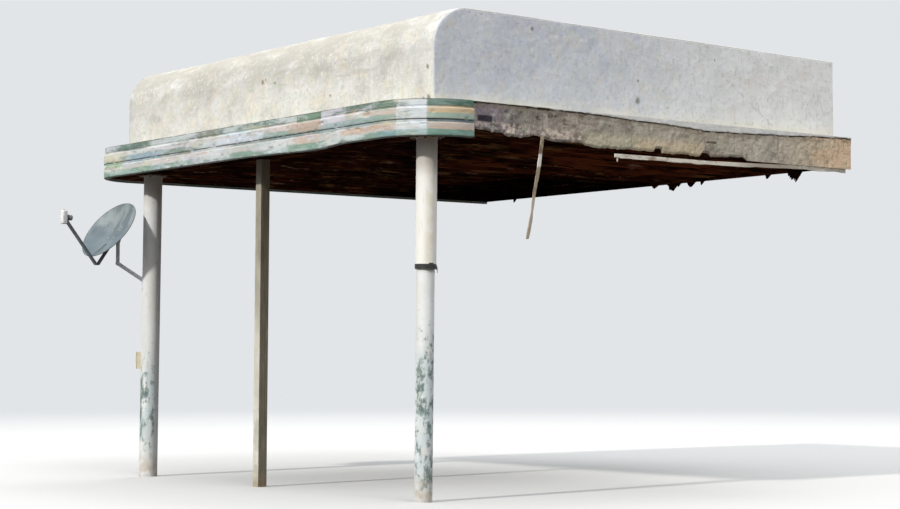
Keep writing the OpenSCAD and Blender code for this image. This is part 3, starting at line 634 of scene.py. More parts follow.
def lath_timber():
    """Split laths, brown with age and pale where they snapped not long ago."""
    f = Finish("lath")
    fibre = f.noise(0.010, along=GRAIN["X"], detail=6)
    f.colour = f.ramp(fibre, (0.3, rgb(34, 18, 11)), (0.5, rgb(70, 40, 24)), (0.72, rgb(110, 74, 46)))
    f.coat(rgb(112, 46, 24), f.spots(0.20, 0.50, 0.60, along=(0.4, 1, 1), seed=2), 0.7)
    f.coat(rgb(196, 164, 138), f.spots(0.16, 0.60, 0.66, along=(0.6, 1, 1), seed=3), 0.85)
    f.bumps((fibre, 0.001))
    return f.done(0.92, 0.0)


def splinter_timber():
    """The grey-tan wood of the hanging lath, bright at its knot and at its end."""
    f = Finish("splinter")
    fibre = f.noise(0.006, along=GRAIN["Z"], detail=5)
    f.colour = f.ramp(fibre, (0.3, rgb(126, 110, 90)), (0.5, rgb(160, 144, 120)), (0.7, rgb(186, 170, 146)))
    f.coat(rgb(92, 76, 58), f.spots(0.06, 0.48, 0.62, along=(1, 1, 0.4), seed=3), 0.7)
    f.coat(rgb(240, 234, 224), f.between(f.z, -0.35, -0.26, 0.03), 0.85)
    f.coat(rgb(206, 192, 172), f.step(f.z, -0.62, -0.70), 0.6)
    f.bumps((fibre, 0.001))
    return f.done(0.9)


def rim_timber():
    """The side rim, where the light gets in under the broken plaster, painted there as a tan pool of light.
    """
    f = Finish("rim_timber")
    fibre = f.noise(0.014, along=GRAIN["Y"], detail=6)
    f.colour = f.ramp(fibre, (0.3, rgb(20, 10, 6)), (0.5, rgb(46, 24, 15)), (0.7, rgb(92, 58, 34)))
    # The tan stretch is a painted pool of light where light gets in under the broken plaster.
    tan = f.spots(0.07, 0.42, 0.56, along=STREAK["Y"])
    f.coat(rgb(142, 112, 66), f.between(f.y, -4.25, -3.45, 0.12), tan, 0.7)
    red = f.spots(0.05, 0.50, 0.62, along=STREAK["Y"], seed=5)
    f.coat(rgb(110, 48, 34), f.between(f.y, -3.9, -3.1, 0.2), red, 0.7)
    f.bumps((fibre, 0.002))
    return f.done(0.92, 0.0)


def flaked_paint(f, zone, amount, drawn):
    """Flakes off the paint where zone says so, down to older paint, primer and rust. It returns
    where the paint is bare, for the bump."""
    thick = f.both(zone, f.spots(0.13, 0.30, 0.62, along=(1, 1, 0.6), detail=3, seed=9), amount)
    flake = f.calc("ADD", f.noise(0.040, along=(1, 1, drawn), detail=9, rough=0.80, seed=4), thick)
    bare = f.step(flake, 0.600, 0.680)
    f.coat(rgb(120, 140, 134), bare, 0.85)
    f.coat(rgb(84, 100, 94), f.step(flake, 0.690, 0.760), 0.80)
    f.coat(rgb(116, 76, 50), f.step(flake, 0.740, 0.78), f.spots(0.03, 0.62, 0.68, seed=11), 0.8)
    return bare


def post_paint(name, low, high, amount, worn_side, drawn):
    """White paint on steel that flakes between two heights over the ground down to older green-grey
    paint, most on the side that faces worn_side. drawn is how far the flakes stretch upwards."""
    f = Finish(name)
    up = f.calc("SUBTRACT", f.z, GROUND)
    cloud = f.noise(0.25, along=(1, 1, 0.4), detail=6)
    f.colour = f.ramp(cloud, (0.32, rgb(222, 222, 217)), (0.6, rgb(240, 241, 239)))
    f.coat(rgb(226, 218, 202), f.spots(0.14, 0.50, 0.62, along=(1, 1, 0.3), seed=3), 0.35)
    zone = f.both(f.step(up, low - 0.30, low + 0.15), f.step(up, high + 0.30, high - 0.20))
    zone = f.both(zone, f.scaled(f.step(f.turned_to(worn_side), -0.35, 0.65), 0.75, 0.25))
    f.coat(rgb(206, 216, 216), zone, f.spots(0.14, 0.36, 0.54, along=(1, 1, drawn), detail=6, seed=7), 0.85)
    bare = flaked_paint(f, zone, amount, drawn)
    dot = f.spots(0.018, 0.64, 0.72, along=(1, 1, 0.6), detail=3, seed=13)
    f.coat(rgb(134, 128, 112), dot, f.step(up, high + 1.1, high), 0.65)
    f.coat(rgb(190, 172, 148), f.step(up, 0.36, 0.03), f.spots(0.09, 0.30, 0.6, seed=15), 0.75)
    # Darker at the top of the post, under the canopy: dirt, and painted shade.
    f.coat(rgb(176, 162, 150), f.step(up, 2.95, 3.20), 0.5)
    f.bumps((bare, -0.0010), (f.noise(0.01, detail=3), 0.0005))
    return f.done(0.62)


def sleeve_paint():
    """White paint on the sheet sleeve, with thin runs of dirt, yellowed and with painted shade on its right
    side, and darker at the top with dirt and painted shade under the canopy.
    """
    f = Finish("sleeve_paint")
    cloud = f.noise(0.3, along=(1, 1, 0.3), detail=6)
    f.colour = f.ramp(cloud, (0.3, rgb(230, 226, 214)), (0.6, rgb(244, 242, 234)))
    f.coat(rgb(206, 192, 164), f.spots(0.028, 0.58, 0.70, along=(1, 1, 0.08), seed=2), 0.5)
    # The warm, darker right side is yellowed paint and painted shade on the side turned from the light.
    right = f.step(f.turned_to((0.75, -0.2, 0)), 0.80, 0.99)
    f.coat(rgb(222, 206, 172), right, f.spots(0.2, 0.36, 0.6, seed=5), 0.5)
    # Darker at the top, under the canopy: dirt, and painted shade.
    f.coat(rgb(176, 162, 152), f.step(f.z, -0.52, -0.34), 0.6)
    f.bumps((f.noise(0.02, detail=3), 0.0006))
    return f.done(0.55)


def prop_timber():
    """Cream paint, held on the front of the prop, dulled high up and weathered off its sides."""
    f = Finish("prop_timber")
    up = f.calc("SUBTRACT", f.z, GROUND)
    fibre = f.noise(0.009, along=GRAIN["Z"], detail=6, rough=0.7)
    bare = f.ramp(fibre, (0.3, rgb(104, 96, 80)), (0.5, rgb(140, 131, 112)), (0.72, rgb(170, 160, 138)))
    cloud = f.noise(0.16, along=(1, 1, 0.4), detail=6)
    bright = f.ramp(cloud, (0.3, rgb(206, 200, 184)), (0.6, rgb(226, 221, 208)))
    dull = f.ramp(cloud, (0.3, rgb(142, 135, 118)), (0.6, rgb(178, 171, 154)))
    worn = f.noise(0.05, along=(1, 1, 0.22), detail=7, rough=0.7, seed=3)
    front = f.step(f.facing("Y"), -0.3, -0.8)
    held = f.step(f.calc("ADD", worn, f.both(front, 0.34)), 0.62, 0.72)
    f.colour = f.mix(held, bare, f.mix(f.step(up, 0.9, 2.5), bright, dull))
    f.coat(rgb(92, 100, 76), f.step(up, 1.5, 0.5), f.spots(0.15, 0.45, 0.6, seed=5), 0.25)
    f.coat(rgb(150, 128, 98), f.step(up, 0.20, 0.0), 0.6)
    f.bumps((fibre, 0.002), (held, 0.001))
    return f.done(0.85, 0.2)


def felt():
    """Roll roofing with mineral grit, dusty and bleached by the sun."""
    f = Finish("felt")
    f.colour = f.ramp(f.noise(0.6, detail=9, rough=0.75), (0.3, rgb(80, 78, 73)), (0.7, rgb(118, 115, 108)))
    dust = f.spots(0.35, 0.46, 0.72, along=(0.4, 1, 1), detail=9, rough=0.75, seed=3)
    f.coat(rgb(150, 142, 126), dust, 0.45)
    f.coat(rgb(60, 58, 55), f.spots(0.12, 0.60, 0.68, along=(1, 0.4, 1), detail=6, seed=6), 0.4)
    grit = f.noise(0.006, detail=2)
    f.coat(rgb(54, 52, 50), f.step(grit, 0.56, 0.66), 0.5)
    f.bumps((grit, 0.0015), (f.noise(0.2, seed=5), 0.004))
    return f.done(0.94)


def worn_steel(name, dark, light, rust_from):
    """Galvanised or painted steel, with rust where the noise passes rust_from."""
    f = Finish(name)
    f.colour = f.ramp(f.noise(0.05, detail=6), (0.3, dark), (0.65, light))
    rust = f.spots(0.035, rust_from, rust_from + 0.08, detail=7, rough=0.7, seed=4)
    f.coat(rgb(104, 62, 38), rust)
    f.bumps((f.noise(0.008), 0.0005), (rust, 0.0008))
    return f.done(f.scaled(rust, 0.3, 0.55))


def dish_paint():
    """Smooth blue-grey baked paint, chalky in its upper half where the rain runs down."""
    f = Finish("dish_paint")
    cloud = f.noise(0.26, detail=3)
    f.colour = f.ramp(cloud, (0.34, rgb(96, 108, 114)), (0.5, rgb(106, 118, 124)), (0.66, rgb(118, 129, 132)))
    chalk = f.spots(0.12, 0.42, 0.60, along=(1, 1, 0.35), detail=5, seed=3)
    f.coat(rgb(158, 166, 164), chalk, f.step(f.z, -0.82, -0.62), 0.65)
    f.coat(rgb(72, 82, 86), f.spots(0.03, 0.60, 0.72, along=(1, 1, 0.2), seed=2), 0.25)
    f.bumps((f.noise(0.004), 0.0002))
    return f.done(0.55)


def plain_surface(name, base):
    """A plain worn surface, a little uneven in its colour."""
    f = Finish(name)
    shade = tuple(c * 0.80 for c in base[:3]) + (1,)
    f.colour = f.ramp(f.noise(0.03, detail=6), (0.3, shade), (0.6, base))
    f.bumps((f.noise(0.003), 0.0002))
    return f.done(0.5)


def loose_trim():
    """White paint on a thin strip, worn to the wood in places."""
    f = Finish("loose_trim")
    fibre = f.noise(0.010, along=GRAIN["Y"], detail=6)
    f.colour = f.ramp(fibre, (0.3, rgb(206, 190, 172)), (0.6, rgb(236, 228, 212)))
    f.coat(rgb(148, 124, 100), f.spots(0.07, 0.54, 0.64, along=(1, 0.3, 1), detail=6, seed=2), 0.8)
    f.coat(rgb(248, 246, 238), f.spots(0.09, 0.56, 0.64, along=(1, 0.3, 1), seed=3), 0.8)
    dirt = f.spots(0.10, 0.30, 0.46, along=(1, 0.3, 1), seed=5)
    f.coat(rgb(166, 156, 140), f.step(f.y, -2.0, -1.3), dirt, 0.9)
    f.bumps((fibre, 0.0015))
    return f.done(0.85)


# Shapes


def lattice(cell, seed):
    """A repeatable random number from 0 to 1 for each whole-number corner."""
    n = cell[..., 0] * 374761393 + cell[..., 1] * 668265263 + cell[..., 2] * 914744123 + seed * 1274126177
    n = n & 0xFFFFFFFF
    n = ((n ^ (n >> 13)) * 1274126177) & 0xFFFFFFFF
    return ((n ^ (n >> 16)) & 0xFFFF) / 65535


def lumps(points, size, seed):
    """Smooth noise from -1 to 1 at each point, with lumps about size across."""
    where = np.asarray(points, float) / size
    cell = np.floor(where).astype(np.int64)
    share = where - cell
    share = share * share * (3 - 2 * share)
    total = np.zeros(where.shape[:-1])
    for corner in itertools.product((0, 1), repeat=3):
        weight = np.prod(np.where(corner, share, 1 - share), axis=-1)
        total += weight * lattice(cell + np.array(corner), seed)
    return 2 * total - 1


def layered(points, layers):
    """Lumps of several sizes on top of each other. A layer is its depth, its size and its seed."""
    return sum(depth * lumps(points, size, seed) for depth, size, seed in layers)


def read(table, place):
    """The value at a place, between the pairs of place and value in a table."""
    return float(np.interp(place, *zip(*table)))


def corners(node):
    """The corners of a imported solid."""
    return np.array([v.co for v in NODES[node].data.vertices])


# Edges that turn by more than this stay sharp
SHARP_FROM = math.radians(35)


def make(name, verts, faces, finish, slot, replaced=(), backing=None, backed=()):
    """One mesh piece that rides on the frame. backing is a second finish for the backed faces."""
    mesh = bpy.data.meshes.new(name)
    mesh.from_pydata([tuple(v) for v in verts], [], [tuple(f) for f in faces])
    mesh.materials.append(finish)
    if backing:
        mesh.materials.append(backing)
        for index in backed:
            mesh.polygons[index].material_index = 1
    made = bmesh.new()
    made.from_mesh(mesh)
    bmesh.ops.recalc_face_normals(made, faces=made.faces)
    made.to_mesh(mesh)
    made.free()
    mesh.shade_smooth()
    mesh.set_sharp_from_angle(angle=SHARP_FROM)
    obj = bpy.data.objects.new(name, mesh)
    SCENE.collection.objects.link(obj)
    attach(obj, "root")
    if replaced:
        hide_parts(*replaced)
    return obj


def mark(obj, name, values):
    """Writes a value for each corner of a piece, which its finish reads by name."""
    obj.data.attributes.new(name, "FLOAT", "POINT").data.foreach_set("value", values)


def swept(loops):
    """Corners and faces of a closed skin through loops of equally many points, with flat ends."""
    loops = np.asarray(loops)
    count, size = loops.shape[:2]
    index = np.arange(count * size).reshape(count, size)
    near, far = index[:-1], index[1:]
    faces = np.stack([near, np.roll(near, -1, 1), np.roll(far, -1, 1), far], -1).reshape(-1, 4).tolist()
    return loops.reshape(-1, 3), [*faces, index[0].tolist()[::-1], index[-1].tolist()]


def behind(count, size, front):
    """Which of the faces of swept() lie past the first front points of each loop."""
    return [row * size + k for row in range(count - 1) for k in range(front - 1, size)]


class Heap:
    """Gathers many small solids into one piece."""

    def __init__(self):
        self.verts, self.faces = [], []

    def add(self, verts, faces):
        base = len(self.verts)
        self.verts += [tuple(v) for v in verts]
        self.faces += [[i + base for i in face] for face in faces]

    def loops(self, loops):
        self.add(*swept(loops))

    def rod(self, start, end, radius, sides, far_radius=None):
        """A round bar or a cone between two points. Six sides make a bolt's head."""
        start, end = Vector(start), Vector(end)
        turn = (end - start).to_track_quat("Z", "Y").to_matrix()
        angles = np.linspace(0, 2 * math.pi, sides, endpoint=False)
        loops = []
        for middle, r in ((start, radius), (end, far_radius or radius)):
            loops.append([middle + turn @ Vector((r * math.cos(a), r * math.sin(a), 0)) for a in angles])
        self.loops(loops)

    def box(self, low, high, turn, edge):
        """A box between two corners in the frame that turn gives, its long edges bevelled."""
        (x0, y0, z0), (x1, y1, z1) = low, high
        ring = [(x0 + edge, y0), (x1 - edge, y0), (x1, y0 + edge), (x1, y1 - edge),
                (x1 - edge, y1), (x0 + edge, y1), (x0, y1 - edge), (x0, y0 + edge)]
        self.loops([[turn @ Vector((x, y, z)) for x, y in ring] for z in (z0, z1)])

    def make(self, name, finish, slot, replaced=()):
        """Turns all that was gathered into one piece."""
        make(name, self.verts, self.faces, finish, slot, replaced)


def dense(points, step):
    """The same outline with more points, at most step apart."""
    made = []
    for a, b in zip(points[:-1], points[1:]):
        a, b = np.array(a, float), np.array(b, float)
        parts = max(1, math.ceil(np.linalg.norm(b - a) / step))
        made += [a + (b - a) * i / parts for i in range(parts)]
    return np.array([*made, np.array(points[-1], float)])


# Bulkhead

STUCCO_STEP = 0.022
EDGE_ROUND = STUCCO_T - 0.001
ROLL_POINTS = 30
# Layers of the dash and the trowel marks, which fade out towards an edge over RELIEF_FADE
RELIEF = ((0.0022, 0.16, 21), (0.0020, 0.05, 22), (0.0014, 0.028, 23))
RELIEF_FADE = 0.05
DRIFT_DEEP = 0.0035
DRIFT_SIZE = 0.55
# Points up a side: how many there are, and how far below its top the topmost ones lie
SIDE_ROWS = 50
EVEN_UP_TO = 0.026
CROWN = np.array([0.020, 0.015, 0.010, 0.006, 0.003, 0.001, 0.0])


def drift(points):
    """How far the hand-floated stucco wanders from its true planes, the same for all its pieces."""
    return np.stack([DRIFT_DEEP * lumps(points, DRIFT_SIZE, seed) for seed in (11, 12, 13)], -1)


def roll_height(y):
    """Height of the bulkhead's top at a depth: on the roll, or on the slope behind it."""
    if y < ROLL_Y:
        return BOX_TOP - ROLL_R + math.sqrt(max(ROLL_R**2 - (ROLL_Y - y) ** 2, 0))
    return BOX_TOP + (BACK_TOP - BOX_TOP) * (y - ROLL_Y) / -ROLL_Y


def roll_arc(radius, angles):
    """Depths and heights on an arc about the middle of the roll."""
    return [(ROLL_Y + radius * math.cos(a), BOX_TOP - ROLL_R + radius * math.sin(a)) for a in angles]


def stucco_front(finish, back_coat):
    """The front of the bulkhead with its rolled upper edge, from the foot up and over to the roof."""
    angles = np.linspace(math.pi, math.pi / 2, ROLL_POINTS)
    tail = (ROLL_Y + STUCCO_T, roll_height(ROLL_Y + STUCCO_T))
    upright = dense([(BOX_Y, BOX_LOW), (BOX_Y, BOX_TOP - ROLL_R)], STUCCO_STEP)
    outer = np.array([*upright, *roll_arc(ROLL_R, angles[1:]), tail])
    out = np.array([*[(-1, 0)] * len(upright), *[(math.cos(a), math.sin(a)) for a in angles[1:]], (0, 1)])
    inner = [(tail[0], tail[1] - STUCCO_T), *roll_arc(ROLL_R - STUCCO_T, angles[::-4]),
             (BOX_Y + STUCCO_T, BOX_LOW)]
    loops = []
    for x in np.linspace(-INNER_X, INNER_X, round(2 * INNER_X / STUCCO_STEP)):
        skin = np.column_stack([np.full(len(outer), x), outer])
        fade = min(1.0, (INNER_X - abs(x)) / RELIEF_FADE)
        skin[:, 1:] += out * (fade * layered(skin, RELIEF))[:, None]
        back = np.column_stack([np.full(len(inner), x), inner])
        loop = np.concatenate([skin, back])
        loops.append(loop + drift(loop))
    backed = behind(len(loops), len(loop), len(outer))
    make("stucco_front_skin", *swept(loops), finish, "bulkhead_stucco", ["stucco_front"],
         backing=back_coat, backed=backed)


def inside_outline(y, z, top):
    """How far points at a depth and at these heights lie inside the outline of a side."""
    rolled = (y < ROLL_Y) & (z > BOX_TOP - ROLL_R)
    from_roll = ROLL_R - np.hypot(y - ROLL_Y, z - BOX_TOP + ROLL_R)
    return np.clip(np.where(rolled, from_roll, np.minimum(y - BOX_Y, top - z)), 0, None)


def stucco_side(node, side, finish, back_coat):
    """A flat side of the bulkhead, whose columns run up to the rolled edge and the sloping top.
    The outer edge is rounded off."""
    angles = np.linspace(0, math.pi / 2, 26)
    slope = np.arange(ROLL_Y + STUCCO_STEP, -0.004, STUCCO_STEP)
    loops = []
    for y in [*(ROLL_Y - ROLL_R * np.cos(angles)), *slope, 0.0]:
        top = roll_height(y)
        z = np.array([*np.linspace(BOX_LOW, top - EVEN_UP_TO, SIDE_ROWS - len(CROWN)), *(top - CROWN)])
        skin = np.column_stack([np.full(SIDE_ROWS, side * BOX_X), np.full(SIDE_ROWS, y), z])
        inside = inside_outline(y, z, top)
        short = np.clip(EDGE_ROUND - inside, 0, EDGE_ROUND)
        fade = np.clip(inside / RELIEF_FADE, 0, 1)
        rounding = np.sqrt(EDGE_ROUND**2 - short**2)
        skin[:, 0] += side * (fade * layered(skin, RELIEF) - EDGE_ROUND + rounding)
        back = np.array([(side * INNER_X, y, top), (side * INNER_X, y, BOX_LOW)])
        loop = np.concatenate([skin, back])
        loops.append(loop + drift(loop))
    backed = behind(len(loops), len(loop), SIDE_ROWS)
    make(node + "_skin", *swept(loops), finish, "bulkhead_stucco", [node], backing=back_coat, backed=backed)


# Moulding and the broken edge

RUN_STEP = 0.014
CORNER_RUN = CORNER_X + CORNER_R * math.pi / 2
# Layers of wear. Chips: their size, where in the noise they start and how fast they deepen
WEAR = ((0.0012, 0.10, 31), (0.0009, 0.03, 32))
CHIP_SIZE = 0.055
CHIP_FROM = 0.62
CHIP_GAIN = 0.045


def rib(low, high, deep, r):
    """Outline of a rib between two heights, deep behind the face and rounded by r at its edges."""
    quarter = np.linspace(0, math.pi / 2, 5)
    return [*[(deep + r - r * math.sin(a), low + r - r * math.cos(a)) for a in quarter],
            *[(deep + r - r * math.cos(a), high - r + r * math.sin(a)) for a in quarter]]


def moulding_section():
    """Outline of the moulding: depth behind its face and height over its lower edge."""
    back = GROOVE_DEEP + BAND_BACK
    outline = [
        (back, 0), (GROOVE_DEEP, 0), *rib(0, LOW_RIB_TOP, 0, RIB_ROUND),
        (GROOVE_DEEP, LOW_RIB_TOP), (GROOVE_DEEP, HIGH_RIB_LOW),
        *rib(HIGH_RIB_LOW, HIGH_RIB_TOP, 0, RIB_ROUND), (LIP_DEEP, HIGH_RIB_TOP), (LIP_DEEP, TOP_BAND_LOW),
        *rib(TOP_BAND_LOW, BAND_H, TOP_BAND_DEEP, RIB_ROUND / 2), (GROOVE_DEEP, BAND_H), (back, BAND_H),
    ]
    return dense(outline, RUN_STEP)


def moulding_station(run, side):
    """A point on the moulding's face and the way out of it, from the distance along the run.
    The run is X along the front, and goes on round the corner and back along the side."""
    past = run - CORNER_X
    if past <= 0:
        return (side * run, FRONT), (0.0, -1.0)
    angle = past / CORNER_R
    if angle < math.pi / 2:
        out = (side * math.sin(angle), -math.cos(angle))
        return (side * CORNER_X + CORNER_R * out[0], CORNER_Y + CORNER_R * out[1]), out
    return (side * HALF_W, CORNER_Y + past - CORNER_R * math.pi / 2), (float(side), 0.0)


# How far the moulding's lower edge sags, at places along its run on the right half of the front
SAG = ((0.20, 0.0), (0.60, 0.008), (1.00, 0.014), (1.30, 0.024), (1.60, 0.024), (1.80, 0.010), (1.95, 0.0))


def moulding_piece(node, side, start, end, finish):
    """A stretch of the moulding between two distances along its run, worn and chipped."""
    section = moulding_section()
    proud = section[:, 0] < GROOVE_DEEP - 0.001
    loops, runs, rises = [], [], []
    for run in np.linspace(start, end, max(2, round((end - start) / RUN_STEP))):
        (x, y), (out_x, out_y) = moulding_station(run, side)
        where = np.column_stack([np.full(len(section), side * run), section])
        chip = np.clip(lumps(where, CHIP_SIZE, 33) - CHIP_FROM, 0, 1) * CHIP_GAIN
        sunk = np.where(proud, layered(where, WEAR) - chip, 0.0)
        sag = read(SAG, side * run) * np.clip(1 - section[:, 1] / LOW_RIB_TOP, 0, 1)
        loops.append(np.column_stack([
            x - out_x * section[:, 0] + out_x * sunk,
            y - out_y * section[:, 0] + out_y * sunk,
            BAND_LOW + section[:, 1] - sag,
        ]))
        runs += [side * run] * len(section)
        rises += section[:, 1].tolist()
    obj = make(node + "_run", *swept(loops), finish, "moulding", [node])
    mark(obj, "run", runs)
    mark(obj, "rise", rises)


# The torn lower edge of the plaster on the right: depth, and height over the moulding's lower edge
TORN = (
    (-5.17, 0.084), (-4.95, 0.084), (-4.93, 0.068), (-4.80, 0.072), (-4.76, 0.042), (-4.48, 0.050),
    (-4.43, 0.082), (-4.30, 0.052), (-4.24, 0.030), (-3.83, 0.034), (-3.78, 0.012), (-3.60, 0.002),
    (-3.15, 0.016), (-2.89, 0.014), (-2.86, 0.050), (-2.79, 0.052), (-2.77, 0.004), (-2.41, 0.012),
    (-2.36, 0.0), (-2.26, 0.006), (-2.22, 0.044), (-2.15, 0.044), (-2.09, 0.012), (-1.64, 0.034),
    (-1.57, 0.0), (0.0, 0.0),
)
# How far the pale stucco's torn edge hangs below the ledge, by depth
COAT_DROP = (
    (-5.17, 0.0), (-4.20, 0.010), (-3.60, 0.020), (-2.95, 0.040), (-2.70, 0.048), (-2.30, 0.066),
    (-2.20, 0.074), (-1.54, 0.062), (-0.80, 0.034), (0.0, 0.010),
)
# The plaster's points: how many there are up its face, and their spacing along it
RAW_ROWS = 44
RAW_STEP = 0.010
# Layers of the torn edge, of the stucco's torn edge and of the broken face
RAGGED = ((0.006, 0.035, 41), (0.006, 0.09, 42))
COAT_RAGGED = ((0.006, 0.16, 46), (0.004, 0.05, 47))
ROUGH = ((0.0035, 0.09, 43), (0.0028, 0.035, 44), (0.0014, 0.018, 45))
# The torn edge grows ragged forward of this depth, over this distance
RAGGED_FROM = -1.5
RAGGED_OVER = 0.3
# How far the keyed coat lies behind the stucco's plane, and how far the pale coat stands before it
KEYED_BACK = 0.002
COAT_PROUD = 0.003
# How much the torn edge is undercut, and over what height
UNDERCUT = 0.010
UNDERCUT_OVER = 0.02
# A slot under the ledge: its start and end along Y, its height and its depth
SLOT = (-4.385, -4.235, 0.030, 0.018)


def raw_edge(finish):
    """Broken plaster on the right side, under the torn edge of the pale stucco."""
    low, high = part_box("raw_edge_right")
    loops, unders = [], []
    for y in np.arange(low.y, high.y + 0.001, RAW_STEP):
        point = np.array([high.x, y, low.z])
        ragged = min(1.0, max(0.0, (RAGGED_FROM - y) / RAGGED_OVER))
        edge = max(low.z, BAND_LOW + read(TORN, y) + ragged * layered(point, RAGGED))
        z = np.linspace(edge, high.z, RAW_ROWS)
        under = high.z - max(read(COAT_DROP, y) + layered(point, COAT_RAGGED), 0.0) - z
        skin = np.column_stack([np.full(RAW_ROWS, high.x), np.full(RAW_ROWS, y), z])
        rough = layered(skin, ROUGH)
        skin[:, 0] += np.where(under > 0, rough - KEYED_BACK, 0.2 * rough + COAT_PROUD)
        skin[:, 0] -= UNDERCUT * np.clip(1 - (z - edge) / UNDERCUT_OVER, 0, 1) * ragged
        if SLOT[0] < y < SLOT[1]:
            skin[:, 0] -= SLOT[3] * ((z > high.z - SLOT[2]) & (z < high.z - 0.004))
        back = np.array([(low.x, y, high.z), (low.x, y, edge)])
        loops.append(np.concatenate([skin, back]))
        unders += [*under, 0.0, 0.2]
    obj = make("raw_edge_plaster", *swept(loops), finish, "rough_plaster", ["raw_edge_right"])
    mark(obj, "under", unders)


# The loose strip's upper edge: depth, and height over the moulding's lower edge
STRIP = ((-3.41, -0.040), (-2.80, -0.034), (-2.20, -0.034), (-1.60, -0.026), (-0.95, -0.004), (-0.06, 0.0))
STRIP_START, STRIP_END = STRIP[0][0], STRIP[-1][0]
STRIP_H = 0.040
STRIP_STEP = 0.025
# Half the strip's thickness, and the bevel of its outer edges
STRIP_HALF = 0.006
STRIP_BEVEL = 0.002
# The strip stands off at its free end and comes home over this length
FREE_OVER = 1.5
# The splinter at its free end: half its thickness and width, and how far down they apply
SPLINTER = ((0.004, 0.012, 0.0), (0.003, 0.008, 0.03), (0.001, 0.002, 0.05))
NAIL_DEPTHS = np.arange(-2.95, -0.1, 0.46)
NAIL_RADIUS = 0.0045


def strip_loop(middle, y):
    """The strip's outline at a depth, wavering and narrower at its free end."""
    point = np.array([middle, y, 0.0])
    top = BAND_LOW + read(STRIP, y) + 0.003 * float(lumps(point, 0.30, 81))
    tall = STRIP_H * (1 + 0.12 * float(lumps(point, 0.12, 82)))
    if y < STRIP_START + 0.06:
        tall *= 0.80
    held = min(1.0, (y - STRIP_START) / FREE_OVER)
    x = middle + 0.006 * (1 - held) + 0.003 * float(lumps(point, 0.4, 83))
    inner, outer, low = x - STRIP_HALF, x + STRIP_HALF, top - tall
    return [(inner, y, low), (outer - STRIP_BEVEL, y, low), (outer, y, low + STRIP_BEVEL),
            (outer, y, top - STRIP_BEVEL), (outer - STRIP_BEVEL, y, top), (inner, y, top)]


def loose_strip(finish, steel):
    """The thin white strip that has come away along the torn plaster, with its nails."""
    low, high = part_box("loose_strip")
    middle = (low.x + high.x) / 2
    heap = Heap()
    heap.loops([strip_loop(middle, y) for y in np.arange(STRIP_START, STRIP_END, STRIP_STEP)])
    tip = np.array([middle + 0.004, STRIP_START + 0.035, BAND_LOW + STRIP[0][1] - STRIP_H * 0.7])
    heap.loops([[tip + (a * deep, b * wide, -drop) for a, b in ((-1, -1), (1, -1), (1, 1), (-1, 1))]
                for deep, wide, drop in SPLINTER])
    heap.make("loose_strip_trim", finish, "loose_trim", ["loose_strip"])
    nails = Heap()
    for y in NAIL_DEPTHS:
        z = BAND_LOW + read(STRIP, y) - 0.015
        nails.rod((middle + 0.002, y, z), (middle + 0.0095, y, z), NAIL_RADIUS, 8)
    nails.make("loose_strip_nails", steel, "plate_steel")


# The height where the hanging lath comes out from behind the plaster, how far it is tucked in
# above that, and over what height it comes out
LATH_OUT = BAND_LOW + 0.045
TUCKED = 0.020
TUCKED_OVER = 0.03
# Half the hanging lath's width, and what share of it is left at shares of its length
LATH_HALF = 0.019
LATH_WIDTHS = (
    (0.0, 0.55), (0.04, 0.9), (0.40, 1.0), (0.50, 1.05), (0.58, 0.85), (0.72, 0.75), (0.80, 0.55),
    (0.86, 0.95), (0.97, 1.0), (1.0, 0.7),
)


def hanging_strip(finish):
    """A split lath that hangs from behind the broken plaster, bent and splintered."""
    points = corners("hanging_strip")
    top = points[points[:, 2] > points[:, 2].max() - 0.05].mean(0)
    tip = points[points[:, 2] < points[:, 2].min() + 0.05].mean(0)
    half = (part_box("hanging_strip")[1].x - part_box("hanging_strip")[0].x) / 2
    loops = []
    for share in np.linspace(0, 1, 60):
        middle = top + (tip - top) * share
        middle[1] += 0.010 * math.sin(share * 4.4) + 0.003 * math.sin(share * 17.0)
        middle[0] += 0.003 * math.sin(share * 9.0)
        middle[0] -= TUCKED * float(np.clip((middle[2] - LATH_OUT) / TUCKED_OVER, 0, 1))
        w = LATH_HALF * read(LATH_WIDTHS, share) * (1 + 0.10 * float(lumps(middle, 0.04, 71)))
        loops.append([middle + (-half, -w, 0), middle + (half, -w, 0.003),
                      middle + (half, w, 0.003), middle + (-half, w, 0)])
    make("hanging_lath", *swept(loops), finish, "lath", ["hanging_strip"])


# Ceiling and roof

BOARD_W = 0.14
BOARD_GAP = 0.004
BOARD_BEVEL = 0.003
# Ceiling boards butt at most this far from the middle, and two butts closer than BUTTS_APART
# become one
BUTTS_WITHIN = 2.6
BUTTS_APART = 0.8
BUTT_GAP = 0.001
BOARD_DROP = 0.0025


def plan_half_width(y):
    """Half the width of the rim's round-cornered plan at depth y."""
    if y > CORNER_Y:
        return RIM_X
    return CORNER_X + math.sqrt(max(RIM_R**2 - (CORNER_Y - y) ** 2, 0))


